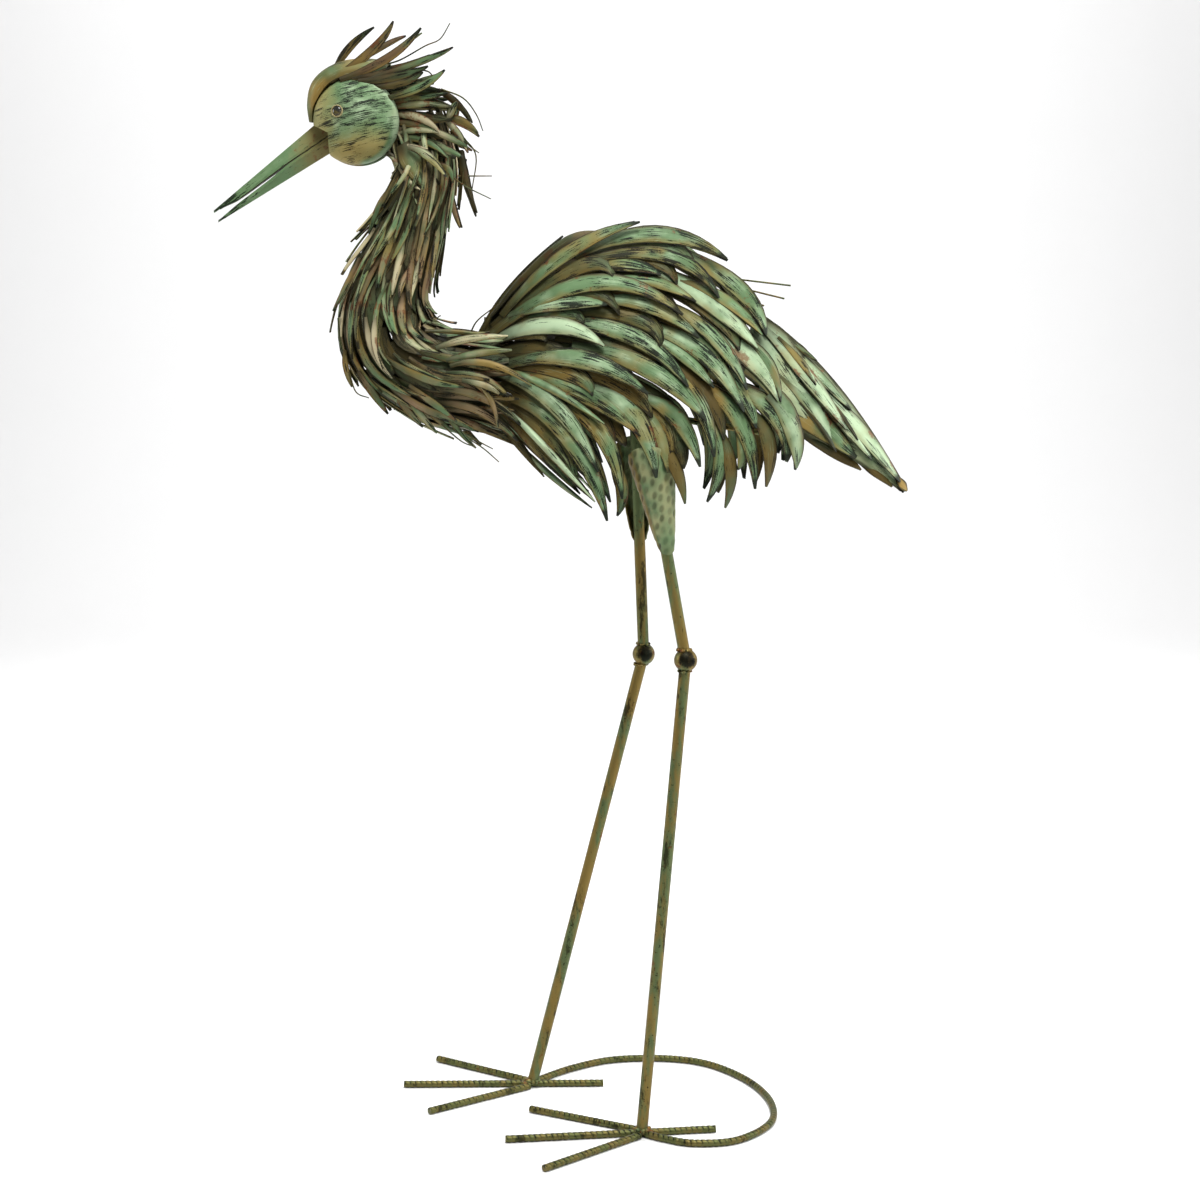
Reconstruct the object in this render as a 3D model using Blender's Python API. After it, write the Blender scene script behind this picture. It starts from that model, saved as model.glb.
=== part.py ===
"""A heron for the garden, welded from cut sheet steel, tube and ribbed bar.

The bird looks along -X and shows its left side to -Y. Its middle plane is worked out
at Y = 0, and the last step stands the whole figure on the origin.
"""
import math

import bmesh
import bpy
from mathutils import Matrix, Vector

MM = 0.001
GAP = 0.3                      # clearance between pieces that touch, in mm like all sizes here

# Bar, tube and sheet stock
BAR_RADIUS = 3.5
BAR_SIDES = 8
TUBE_RADIUS = 5.0
TUBE_SIDES = 12
KNEE_RADIUS = 10.0
SHEET = 1.2
WIRE_RADIUS = 0.9

# Feet: the place where each leg stands, and the way the middle toe points
FEET = {"far": ((-35.0, 48.0), 181.0), "near": ((63.5, -65.0), 187.0)}
TOE_LENGTH = 119.0
SIDE_TOE_LENGTH = 112.0
HEEL_LENGTH = 65.0
TOE_SPREAD = 35.0
LOOP_ROUTE = ((-25, 62), (2, 87), (40, 108), (90, 111), (130, 96), (164, 55), (181, 5),
              (177, -44), (146, -81), (108, -88), (82, -78))

# Legs: knee balls, and the height at which the thighs meet the frame
KNEES = {"far": (66.0, 42.0, 407.0), "near": (100.0, -42.0, 416.0)}
HIP_X = {"far": 58.0, "near": 64.5}
HIP_HEIGHT = 618.0
HIP_BAR_RADIUS = 4.0

# Hammered thigh plates, half a cone each, open towards the other leg
THIGH_LOW = 507.0
THIGH_HIGH = 600.0
THIGH_LOW_RADIUS = 6.6
THIGH_HIGH_RADIUS = 19.0
THIGH_WRAP = 205.0

# Head: two domed cheek shells with a beak and a crest cap between them
HEAD_CENTRE = (-177.0, 868.0)
CHEEK_RADIUS = 35.5
CHEEK_HEIGHT = 20.0
CHEEK_SPLIT = 8.0
EYE_PLACE = (-190.5, 874.5)
EYE_RADIUS = 5.0
BEAK_TIPS = {"upper": (-299.5, 792.5), "lower": (-296.0, 787.0)}
BEAK_CORNER = (-199.0, 857.0)
BEAK_TOP = (-214.5, 864.5)
BEAK_UNDER = (-199.0, 843.0)
BEAK_HALF_WIDTH = 7.5
BEAK_ROOT = 20.0
# Crest cap: angle round the head, radius of the ridge, radius of the edge, half width
CREST_CAP = ((180, 40.0, 36.8, 6.0), (163, 43.4, 36.9, 10.0), (138, 49.2, 36.9, 14.0),
             (110, 50.4, 37.0, 15.0), (83, 51.6, 40.0, 15.0), (59, 55.5, 44.0, 14.0))
CREST_TIPS = {"near": ((-162, 946), (-136, 938), (-96, 929)),
              "far": ((-146, 951), (-124, 946), (-107, 938))}
CREST_FOOT = 46.0
CREST_LEAN = 0.22
# Nape fans: tips from the top down, and the angles round the head where they start
NAPE_TIPS = ((-99, 911), (-86, 892), (-77, 868), (-81, 850), (-97, 835))
NAPE_FROM, NAPE_TO = 42.0, -34.0
NAPE_RADIUS = 37.0

# Neck: route of its middle line, radius seen from the side, radius seen from the front
NECK = ((-131, 873, 24, 5), (-124, 851, 25, 11), (-119, 824, 23, 20), (-134, 779, 26, 23),
        (-153, 733, 31, 27), (-156, 703, 36, 32), (-146, 677, 38, 35), (-114, 656, 38, 36),
        (-78, 649, 38, 36))
COLLARS = 11
LAST_COLLAR = 30.0
COLLAR_FINGERS = 11
COLLAR_PITCH = 3.0
COLLAR_SHEET = 1.0
COLLAR_BAND = 0.1
COLLAR_SEAM = 0.03

# Body: station along X, height of the back and of the feather tips, half width, ridge
BODY = ((-80, 692, 612, 14, 3), (-40, 731, 587, 32, 5), (0, 764, 550, 47, 7),
        (50, 779, 532, 57, 8), (100, 771, 545, 58, 7), (150, 716, 565, 49, 5),
        (200, 678, 590, 34, 3), (245, 627, 570, 19, 1.6), (298, 552, 548, 6, 1.6))
WING_PITCH = 3.3
LAYERS_PART_FROM = -80.0
LAYERS_PART_TO = -20.0
ROOT_TUCK = 45.0
ROOT_BAND = 5.0
FEATHER_WIDTH = 15.0
TIP_WIDTH = 2.0
SLIT = 0.8

# Wing rows: layer, line of the roots, line of the tips, bow, and how far each feather
# reaches for the line of the tips
WING_ROWS = (
    ("belly", 2, ((-60, 632), (-66, 618)), ((16, 554), (3, 563), (-20, 577)),
     (0.03, -0.04), (1.00, 1.00, 1.00)),
    ("shoulder", 5, ((-68, 679), (-62, 638)), ((64, 784), (34, 690), (26, 528)),
     (0.15, 0.14), (1.00, 1.12, 0.92, 0.93, 1.15, 0.95, 0.96, 1.00)),
    ("middle", 4, ((-32, 738), (-30, 610)), ((132, 752), (104, 690), (56, 548)),
     (0.17, 0.13), (1.00, 0.92, 0.98, 1.03, 0.97, 1.00, 0.84, 1.04)),
    ("lower", 3, ((22, 760), (20, 606)), ((128, 722), (136, 640), (82, 560)),
     (0.16, 0.13), (1.00, 0.94, 1.12, 0.95, 1.05, 0.94, 1.02)),
    ("trailing", 2, ((84, 756), (62, 610)), ((165, 690), (198, 600), (108, 546)),
     (0.15, 0.12), (1.00, 1.00, 0.98, 1.04, 0.97, 1.05, 0.97)),
)
# Tail: pointed plates, each given by its root corners and its tip, and the layer it lies in
TAIL_PLATES = (
    ("long_plate", 0, (132, 724), (150, 640), (293, 556), 0.05),
    ("short_plate", 1, (120, 728), (130, 662), (234, 622), 0.06),
)
TAIL_FAR_DROP = 14.0
TAIL_FOLDS = 4
SADDLE_FROM = -66.0
SADDLE_TO = 34.0
SADDLE_RISE = 9.0

# Wire frame inside the body
FRAME_RADIUS = 2.0
FRAME_FRONT = -42.0
FRAME_REAR = 168.0
FRAME_SIDE = 22.0
SPINE_FRONT = -70.0
SPINE_REAR = 262.0
SPINE_STEPS = 9
SPINE_DEPTH = 22.0
SPINE_RADIUS = 2.5
BACK_WIRES = (((120, 740), (189, 732), -3.0), ((126, 735), (184, 721), 0.0),
              ((134, 726), (167, 715), 3.0))

# Colours: name, colour, roughness, metallic
FINISHES = {
    "verdigris": ((0.26, 0.36, 0.22), 0.55, 0.3),
    "pale_verdigris": ((0.36, 0.45, 0.28), 0.5, 0.3),
    "ochre_green": ((0.33, 0.29, 0.13), 0.5, 0.4),
    "fringe_tan": ((0.34, 0.28, 0.17), 0.55, 0.3),
    "dark_patina": ((0.05, 0.05, 0.045), 0.5, 0.5),
}


def clear_scene():
    for leftover in list(bpy.data.objects):
        bpy.data.objects.remove(leftover)


def make_finishes():
    finishes = {}
    for name, (colour, roughness, metallic) in FINISHES.items():
        material = bpy.data.materials.new(name)
        material.use_nodes = True
        shader = material.node_tree.nodes["Principled BSDF"]
        shader.inputs["Base Color"].default_value = (*colour, 1.0)
        shader.inputs["Roughness"].default_value = roughness
        shader.inputs["Metallic"].default_value = metallic
        finishes[name] = material
    return finishes


class Workshop:
    """Keeps the parent empty and the finishes, and turns meshes into named pieces."""

    def __init__(self):
        self.finishes = make_finishes()
        self.heron = bpy.data.objects.new("heron", None)
        bpy.context.scene.collection.objects.link(self.heron)

    def piece(self, name, data, finish):
        body = bpy.data.objects.new(name, data)
        body.parent = self.heron
        data.materials.append(self.finishes[finish])
        bpy.context.scene.collection.objects.link(body)
        return body

    def solid(self, name, shape, finish, smooth_angle=None):
        """A piece from a bmesh drawn in millimetres."""
        bmesh.ops.scale(shape, vec=(MM, MM, MM), verts=shape.verts)
        bmesh.ops.recalc_face_normals(shape, faces=shape.faces)
        mesh = bpy.data.meshes.new(name)
        shape.to_mesh(mesh)
        shape.free()
        if smooth_angle:
            mesh.shade_smooth()
            mesh.set_sharp_from_angle(angle=math.radians(smooth_angle))
        return self.piece(name, mesh, finish)


def ease(share):
    """A share of 0 to 1 with a soft start and end."""
    share = min(max(share, 0.0), 1.0)
    return share * share * (3.0 - 2.0 * share)


def spline(before, start, end, after, share):
    """A point on the smooth curve between start and end."""
    bend = 3.0 * (start - end) + after - before
    turn = 2.0 * before - 5.0 * start + 4.0 * end - after
    return start + 0.5 * share * (end - before + share * (turn + share * bend))


def smooth_route(points, per_span):
    """Points of a smooth curve through the route's own points."""
    stops = [Vector(point) for point in points]
    stops = [2.0 * stops[0] - stops[1], *stops, 2.0 * stops[-1] - stops[-2]]
    route = []
    for index in range(1, len(stops) - 2):
        for step in range(per_span):
            route.append(spline(*stops[index - 1:index + 3], step / per_span))
    route.append(stops[-2])
    return route


def station(table, x):
    """Row of values at x, read smoothly from a table whose first column climbs."""
    x = min(max(x, table[0][0]), table[-1][0])
    index = 0
    while index < len(table) - 2 and table[index + 1][0] < x:
        index += 1
    share = (x - table[index][0]) / (table[index + 1][0] - table[index][0])
    rows = [table[max(index - 1, 0)], table[index], table[index + 1],
            table[min(index + 2, len(table) - 1)]]
    return [spline(*values, share) for values in zip(*(row[1:] for row in rows))]


def bar_between(start, end, radius, sides):
    """A round bar in a bmesh, from one point to another, with a flat side below."""
    start, end = Vector(start), Vector(end)
    axis = end - start
    shape = bmesh.new()
    bmesh.ops.create_cone(shape, cap_ends=True, segments=sides, radius1=radius, radius2=radius,
                          depth=axis.length)
    bmesh.ops.rotate(shape, verts=shape.verts, matrix=Matrix.Rotation(math.pi / sides, 3, "Z"))
    turn = axis.to_track_quat("Z", "Y").to_matrix()
    bmesh.ops.rotate(shape, verts=shape.verts, matrix=turn)
    bmesh.ops.translate(shape, verts=shape.verts, vec=(start + end) / 2.0)
    return shape


def wire_piece(shop, name, points, radius, finish):
    """A bent bar: a curve with a round section and closed ends."""
    curve = bpy.data.curves.new(name, "CURVE")
    curve.dimensions = "3D"
    curve.bevel_depth = radius * MM
    curve.bevel_resolution = 2
    curve.use_fill_caps = True
    line = curve.splines.new("POLY")
    line.points.add(len(points) - 1)
    for stop, point in zip(line.points, points):
        stop.co = (*(Vector(point) * MM), 1.0)
    return shop.piece(name, curve, finish)


# Feet and legs

def bar_rest():
    """Height of the middle of a bar that lies on one of its flat sides."""
    return BAR_RADIUS * math.cos(math.pi / BAR_SIDES)


def toe_direction(degrees):
    return Vector((math.cos(math.radians(degrees)), math.sin(math.radians(degrees)), 0.0))


def build_foot(shop, side):
    place, heading = FEET[side]
    centre = Vector((*place, bar_rest()))
    forward = toe_direction(heading)
    main = bar_between(centre + TOE_LENGTH * forward, centre - HEEL_LENGTH * forward,
                       BAR_RADIUS, BAR_SIDES)
    shop.solid(f"{side}_foot_middle_toe", main, "ochre_green")
    clear = 2.0 * BAR_RADIUS + GAP
    for label, spread in (("outer", TOE_SPREAD), ("inner", -TOE_SPREAD)):
        pointing = toe_direction(heading + spread)
        sideways = toe_direction(heading + math.copysign(90.0, spread))
        # The toe's inner end is mitred to lie along the flank of the middle toe.
        start = centre + sideways * (clear - BAR_RADIUS) + pointing * BAR_RADIUS / math.tan(
            math.radians(TOE_SPREAD))
        toe = bar_between(start, centre + SIDE_TOE_LENGTH * pointing, BAR_RADIUS, BAR_SIDES)
        flank = centre + sideways * (BAR_RADIUS + GAP)
        bmesh.ops.bisect_plane(toe, geom=toe.verts[:] + toe.edges[:] + toe.faces[:],
                               plane_co=flank, plane_no=-sideways, clear_outer=True)
        open_edges = [edge for edge in toe.edges if edge.is_boundary]
        if open_edges:
            bmesh.ops.holes_fill(toe, edges=open_edges)
        shop.solid(f"{side}_foot_{label}_toe", toe, "ochre_green")


def build_loop(shop):
    """The ribbed bar behind the bird that joins both feet."""
    route = smooth_route([(x, y, BAR_RADIUS) for x, y in LOOP_ROUTE], 2)
    wire_piece(shop, "foot_loop", route, BAR_RADIUS, "ochre_green")


def hip_point(side):
    knee = KNEES[side]
    return Vector((HIP_X[side], knee[1], HIP_HEIGHT))


def build_leg(shop, side):
    place, _ = FEET[side]
    knee = Vector(KNEES[side])
    floor = Vector((*place, bar_rest() * 2.0 + GAP))
    up = (knee - floor).normalized()
    shin = bar_between(floor, knee - up * (KNEE_RADIUS + GAP), TUBE_RADIUS, TUBE_SIDES)
    # The lower end is sawn level to stand on the toe.
    for vert in shin.verts:
        if (vert.co - floor).dot(up) < TUBE_RADIUS:
            vert.co += up * ((floor.z - vert.co.z) / up.z)
    shop.solid(f"{side}_shin", shin, "ochre_green", 40)
    ball = bmesh.new()
    bmesh.ops.create_uvsphere(ball, u_segments=12, v_segments=7, radius=KNEE_RADIUS)
    bmesh.ops.translate(ball, verts=ball.verts, vec=knee)
    shop.solid(f"{side}_knee_ball", ball, "ochre_green", 60)
    hip = hip_point(side)
    thigh_up = (hip - knee).normalized()
    under_bar = HIP_BAR_RADIUS + TUBE_RADIUS * thigh_up.xy.length + GAP
    top = hip - thigh_up * (under_bar / thigh_up.z)
    thigh = bar_between(knee + thigh_up * (KNEE_RADIUS + GAP), top, TUBE_RADIUS, TUBE_SIDES)
    shop.solid(f"{side}_thigh_tube", thigh, "ochre_green", 40)


def build_thigh_plate(shop, side):
    """A hammered plate bent into half a cone round the outside of the thigh."""
    outward = math.copysign(1.0, KNEES[side][1])
    knee, hip = Vector(KNEES[side]), hip_point(side)
    steps, rings = 8, 4
    plate = bmesh.new()
    bmesh.ops.create_grid(plate, x_segments=steps, y_segments=rings, size=0.5)
    for vert in plate.verts:
        across, rise = vert.co.x + 0.5, vert.co.y + 0.5
        angle = math.radians((across - 0.5) * THIGH_WRAP)
        # The top edge is rounded: its corners hang lower than its middle.
        rounding = 1.0 - 0.22 * rise ** 3 * (2.0 * across - 1.0) ** 2
        height = THIGH_LOW + (THIGH_HIGH - THIGH_LOW) * rise * rounding
        share = (height - THIGH_LOW) / (THIGH_HIGH - THIGH_LOW)
        radius = THIGH_LOW_RADIUS + (THIGH_HIGH_RADIUS - THIGH_LOW_RADIUS) * share
        middle = knee + (hip - knee) * ((height - knee.z) / (hip.z - knee.z))
        vert.co = middle + Vector((math.sin(angle), outward * math.cos(angle), 0.0)) * radius
    body = shop.solid(f"{side}_thigh_plate", plate, "ochre_green", 40)
    add_thickness(body, SHEET, 0.0)


def add_thickness(body, thickness, offset_sign):
    wall = body.modifiers.new("sheet", "SOLIDIFY")
    wall.thickness = thickness * MM
    wall.offset = offset_sign


# Head

def head_point(degrees, radius, y):
    angle = math.radians(degrees)
    return Vector((HEAD_CENTRE[0] + radius * math.cos(angle), y,
                   HEAD_CENTRE[1] + radius * math.sin(angle)))


def cheek_cutter(shop):
    """The notch in the front of both shells that the beak comes out of."""
    notch = bmesh.new()
    reach = CHEEK_RADIUS + CHEEK_HEIGHT
    outline = ((BEAK_TOP[0] - CHEEK_RADIUS, BEAK_TOP[1] + GAP), (BEAK_TOP[0], BEAK_TOP[1] + GAP),
               (BEAK_CORNER[0] + GAP, BEAK_CORNER[1] + GAP), (BEAK_UNDER[0] + GAP, BEAK_UNDER[1]),
               (BEAK_UNDER[0] - CHEEK_RADIUS, BEAK_UNDER[1] - CHEEK_RADIUS))
    corners = [notch.verts.new((x, -reach, z)) for x, z in outline]
    face = notch.faces.new(corners)
    grown = bmesh.ops.extrude_face_region(notch, geom=[face])
    moved = [item for item in grown["geom"] if isinstance(item, bmesh.types.BMVert)]
    bmesh.ops.translate(notch, verts=moved, vec=(0, 2.0 * reach, 0))
    cutter = shop.solid("cheek_notch_cutter", notch, "dark_patina")
    cutter.hide_render = True
    cutter.display_type = "WIRE"
    return cutter


def build_cheek(shop, side, cutter):
    outward = 1.0 if side == "far" else -1.0
    arc_steps, turns = 5, 16
    dome = bmesh.new()
    profile = []
    for wall in (0.0, SHEET):
        for step in range(arc_steps + 1):
            angle = math.pi / 2.0 * step / arc_steps
            radius = (CHEEK_RADIUS - wall) * math.cos(angle)
            height = (CHEEK_HEIGHT - wall) * math.sin(angle)
            profile.append((radius, height))
    outer, inner = profile[:arc_steps + 1], profile[arc_steps + 1:]
    verts = [dome.verts.new((radius, height, 0.0)) for radius, height in outer + inner[::-1]]
    edges = [dome.edges.new(pair) for pair in zip(verts, verts[1:])]
    edges.append(dome.edges.new((verts[-1], verts[0])))
    bmesh.ops.spin(dome, geom=verts + edges, cent=(0, 0, 0), axis=(0, 1, 0),
                   angle=2.0 * math.pi, steps=turns, use_merge=True)
    bmesh.ops.remove_doubles(dome, verts=dome.verts, dist=0.001)
    inner_axis = [face for face in dome.faces if face.calc_area() < 1e-6]
    bmesh.ops.delete(dome, geom=inner_axis, context="FACES_ONLY")
    for vert in dome.verts:
        vert.co = Vector((HEAD_CENTRE[0] + vert.co.x, outward * (CHEEK_SPLIT + vert.co.y),
                          HEAD_CENTRE[1] + vert.co.z))
    shell = shop.solid(f"{side}_cheek_shell", dome, "pale_verdigris", 50)
    cut = shell.modifiers.new("beak notch", "BOOLEAN")
    cut.operation = "DIFFERENCE"
    cut.object = cutter


def cheek_surface(x, z, side_sign):
    """Point and outward direction on the outside of a cheek shell."""
    across, up = x - HEAD_CENTRE[0], z - HEAD_CENTRE[1]
    share = math.sqrt(1.0 - (across ** 2 + up ** 2) / CHEEK_RADIUS ** 2)
    point = Vector((x, side_sign * (CHEEK_SPLIT + CHEEK_HEIGHT * share), z))
    direction = Vector((across / CHEEK_RADIUS ** 2, side_sign * share / CHEEK_HEIGHT,
                        up / CHEEK_RADIUS ** 2))
    return point, direction.normalized()


def build_eye(shop, side):
    """A washer with a low dome in it, on the cheek shell."""
    point, outward = cheek_surface(*EYE_PLACE, 1.0 if side == "far" else -1.0)
    rim = EYE_RADIUS
    profile = ((0.0, 0.0), (rim, 0.0), (rim, 1.0), (0.85 * rim, 1.6), (0.66 * rim, 1.2),
               (0.6 * rim, 0.7), (0.35 * rim, 1.3), (0.0, 1.5))
    eye = bmesh.new()
    verts = [eye.verts.new((radius, 0.0, height)) for radius, height in profile]
    edges = [eye.edges.new(pair) for pair in zip(verts, verts[1:])]
    bmesh.ops.spin(eye, geom=verts + edges, cent=(0, 0, 0), axis=(0, 0, 1),
                   angle=2.0 * math.pi, steps=14, use_merge=True)
    bmesh.ops.remove_doubles(eye, verts=eye.verts, dist=0.001)
    turn = outward.to_track_quat("Z", "Y").to_matrix()
    bmesh.ops.rotate(eye, verts=eye.verts, matrix=turn)
    bmesh.ops.translate(eye, verts=eye.verts, vec=point + outward * 2.0 * GAP)
    shop.solid(f"{side}_eye", eye, "dark_patina", 40)


def build_beak(shop, half):
    """A folded wedge: a ridge above or below, and a flat side at the mouth."""
    corner = Vector((BEAK_CORNER[0], 0.0, BEAK_CORNER[1]))
    ridge_place = BEAK_TOP if half == "upper" else BEAK_UNDER
    ridge = Vector((ridge_place[0], 0.0, ridge_place[1]))
    tip = Vector((BEAK_TIPS[half][0], 0.0, BEAK_TIPS[half][1]))
    away = 1.0 if half == "upper" else -1.0
    mouth = Vector((0.0, 0.0, away * GAP))
    opening = (Vector(BEAK_TIPS["upper"]) + Vector(BEAK_TIPS["lower"])) / 2.0
    inward = (corner - Vector((opening.x, 0.0, opening.y))).normalized() * BEAK_ROOT
    side = Vector((0.0, BEAK_HALF_WIDTH, 0.0))
    tip_side = Vector((0.0, 0.9, 0.0))
    tip_ridge = tip + Vector((-0.4, 0.0, away * 2.2))
    wedge = bmesh.new()
    sections = ((tip + mouth + tip_side, tip + mouth - tip_side, tip_ridge),
                (corner + mouth + side, corner + mouth - side, ridge),
                (corner + mouth + side + inward, corner + mouth - side + inward, ridge + inward))
    rings = [[wedge.verts.new(point) for point in section] for section in sections]
    for ring, following in zip(rings, rings[1:]):
        for index in range(3):
            nxt = (index + 1) % 3
            wedge.faces.new((ring[index], ring[nxt], following[nxt], following[index]))
    wedge.faces.new(rings[0])
    wedge.faces.new(rings[-1])
    shop.solid(f"beak_{half}", wedge, "verdigris")


def cap_section(degrees):
    """Ridge radius, edge radius and half width of the crest cap at an angle."""
    table = [(-angle, *values) for angle, *values in CREST_CAP]
    return station(table, -degrees)


def build_crest_cap(shop):
    """The bent plate over the brow, like the peak of a helmet."""
    first, last = CREST_CAP[0][0], CREST_CAP[-1][0]
    cap = bmesh.new()
    bmesh.ops.create_grid(cap, x_segments=9, y_segments=6, size=0.5)
    for vert in cap.verts:
        degrees = first + (last - first) * (vert.co.x + 0.5)
        ridge, edge, half_width = cap_section(degrees)
        round_the_head = vert.co.y * math.pi
        radius = edge + (ridge - edge) * math.cos(round_the_head)
        vert.co = head_point(degrees, radius, half_width * math.sin(round_the_head))
    body = shop.solid("crest_cap", cap, "verdigris", 60)
    add_thickness(body, SHEET, 0.0)


def build_crest_fan(shop, side):
    """Three feathers standing up from the ridge of the cap."""
    outward = 1.0 if side == "far" else -1.0
    tips = [Vector(tip) for tip in CREST_TIPS[side]]
    roots = []
    for index in range(len(tips) + 1):
        degrees = 108.0 - 48.0 * index / len(tips)
        ridge = cap_section(degrees)[0]
        place = head_point(degrees, ridge + SHEET + GAP + 3.0, 0.0)
        roots.append(Vector((place.x, place.z)))
    middle = Vector(HEAD_CENTRE)
    band = [root + (middle - root).normalized() * 3.0 for root in roots]
    fan = flat_comb(roots, band, tips, [-0.06] * len(tips), 6.5, SHEET, (0.0, 0.3, 0.6, 0.85, 1.0))
    for vert in fan.verts:
        x, z, depth = vert.co
        above = z - HEAD_CENTRE[1] - CREST_FOOT
        vert.co = Vector((x, outward * (1.0 + CREST_LEAN * above + depth), z))
    shop.solid(f"{side}_crest_fan", fan, "verdigris", 40)


def build_nape_fan(shop, side):
    """Leaf feathers that stand back from the rim of a cheek shell."""
    outward = 1.0 if side == "far" else -1.0
    tips = [Vector(tip) for tip in NAPE_TIPS]
    band, roots = [], []
    for index in range(len(tips) + 1):
        degrees = NAPE_FROM + (NAPE_TO - NAPE_FROM) * index / len(tips)
        for line, radius in ((band, NAPE_RADIUS), (roots, NAPE_RADIUS + 3.0)):
            place = head_point(degrees, radius, 0.0)
            line.append(Vector((place.x, place.z)))
    bows = [0.05, 0.06, 0.06, 0.05, 0.03]
    fan = flat_comb(roots, band, tips, bows, 11.5, SHEET, (0.0, 0.3, 0.65, 1.0))
    rim = HEAD_CENTRE[0] + NAPE_RADIUS
    for vert in fan.verts:
        x, z, depth = vert.co
        spread = 8.5 + 0.2 * max(x - rim, 0.0) + 0.36 * max(HEAD_CENTRE[1] - z, 0.0)
        vert.co = Vector((x, outward * (spread + depth), z))
    shop.solid(f"{side}_nape_fan", fan, "pale_verdigris", 40)


# Sheet combs: cut flat, one finger to each feather, then bent to their place

def blade_width(share, base, widest, tip):
    """Width of a feather at a share of its length."""
    if share < 0.5:
        return base + (widest - base) * ease(share / 0.5)
    return tip + (widest - tip) * (1.0 - ((share - 0.5) / 0.5) ** 1.9)


def flat_comb(roots, band, tips, bows, width, sheet, shares):
    """A flat comb in the XY plane, sheet thick along Z, as a closed bmesh."""
    lines = []
    for index, tip in enumerate(tips):
        start = (roots[index] + roots[index + 1]) / 2.0
        along = tip - start
        sideways = Vector((-along.y, along.x))
        guide = (start + tip) / 2.0 + sideways * 2.0 * bows[index]
        line = []
        for share in shares:
            place = start * (1 - share) ** 2 + guide * 2 * share * (1 - share) + tip * share ** 2
            slope = (guide - start) * (1 - share) + (tip - guide) * share
            line.append((place, Vector((-slope.y, slope.x)).normalized()))
        lines.append(line)
    comb = bmesh.new()
    base = [comb.verts.new((*root, 0.0)) for root in roots]
    back = [comb.verts.new((*point, 0.0)) for point in band]
    for index in range(len(tips)):
        comb.faces.new((back[index], back[index + 1], base[index + 1], base[index]))
        root_width = (roots[index + 1] - roots[index]).length
        left, right = base[index], base[index + 1]
        swap = (roots[index] - lines[index][0][0]).dot(lines[index][0][1]) < 0
        for step in range(1, len(shares)):
            place, normal = lines[index][step]
            half = blade_width(shares[step], root_width, width, TIP_WIDTH) / 2.0
            for other in (index - 1, index + 1):
                if 0 <= other < len(tips):
                    room = abs((lines[other][step][0] - place).dot(normal))
                    half = min(half, max(0.45 * room - SLIT / 2.0, TIP_WIDTH / 2.0))
            side = -half if swap else half
            new_left = comb.verts.new((*(place + normal * side), 0.0))
            new_right = comb.verts.new((*(place - normal * side), 0.0))
            comb.faces.new((left, right, new_right, new_left))
            left, right = new_left, new_right
    grown = bmesh.ops.extrude_face_region(comb, geom=comb.faces[:])
    raised = [item for item in grown["geom"] if isinstance(item, bmesh.types.BMVert)]
    bmesh.ops.translate(comb, verts=raised, vec=(0, 0, sheet))
    return comb


# Neck

class NeckLine:
    """The middle line of the neck, measured along its length."""

    def __init__(self):
        stops = [(x, z, tall) for x, z, tall, _ in NECK]
        wide = [(x, z, broad) for x, z, _, broad in NECK]
        self.points = smooth_route(stops, 10)
        self.broad = [point.z for point in smooth_route(wide, 10)]
        self.lengths = [0.0]
        for before, after in zip(self.points, self.points[1:]):
            self.lengths.append(self.lengths[-1] + (after.xy - before.xy).length)
        self.spacing = (self.lengths[-1] - LAST_COLLAR) / (COLLARS - 1)

    def at(self, length):
        """Middle, direction, side radius and front radius at a length along the neck."""
        index = 0
        while index < len(self.lengths) - 2 and self.lengths[index + 1] < length:
            index += 1
        span = self.lengths[index + 1] - self.lengths[index]
        share = (length - self.lengths[index]) / span
        here, there = self.points[index], self.points[index + 1]
        middle = here.lerp(there, share)
        direction = (there.xy - here.xy).normalized()
        radii = min(max(share, 0.0), 1.0)
        tall = here.z + (there.z - here.z) * radii
        broad = self.broad[index] + (self.broad[index + 1] - self.broad[index]) * radii
        return middle.xy, direction, tall, broad

    def on_ring(self, number, angle, lift):
        """A point on the ring where a collar starts, or lifted off it."""
        middle, direction, tall, broad = self.at(number * self.spacing)
        across = Vector((-direction.y, direction.x))
        place = middle + across * (tall + lift) * math.cos(angle)
        return Vector((place.x, (broad + lift) * math.sin(angle), place.y))

    def around(self, length, angle, lift):
        """A point on the neck, which runs straight from ring to ring so that sheets nest."""
        number = math.floor(length / self.spacing)
        share = length / self.spacing - number
        here = self.on_ring(number, angle, lift)
        return here.lerp(self.on_ring(number + 1, angle, lift), share)


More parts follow.
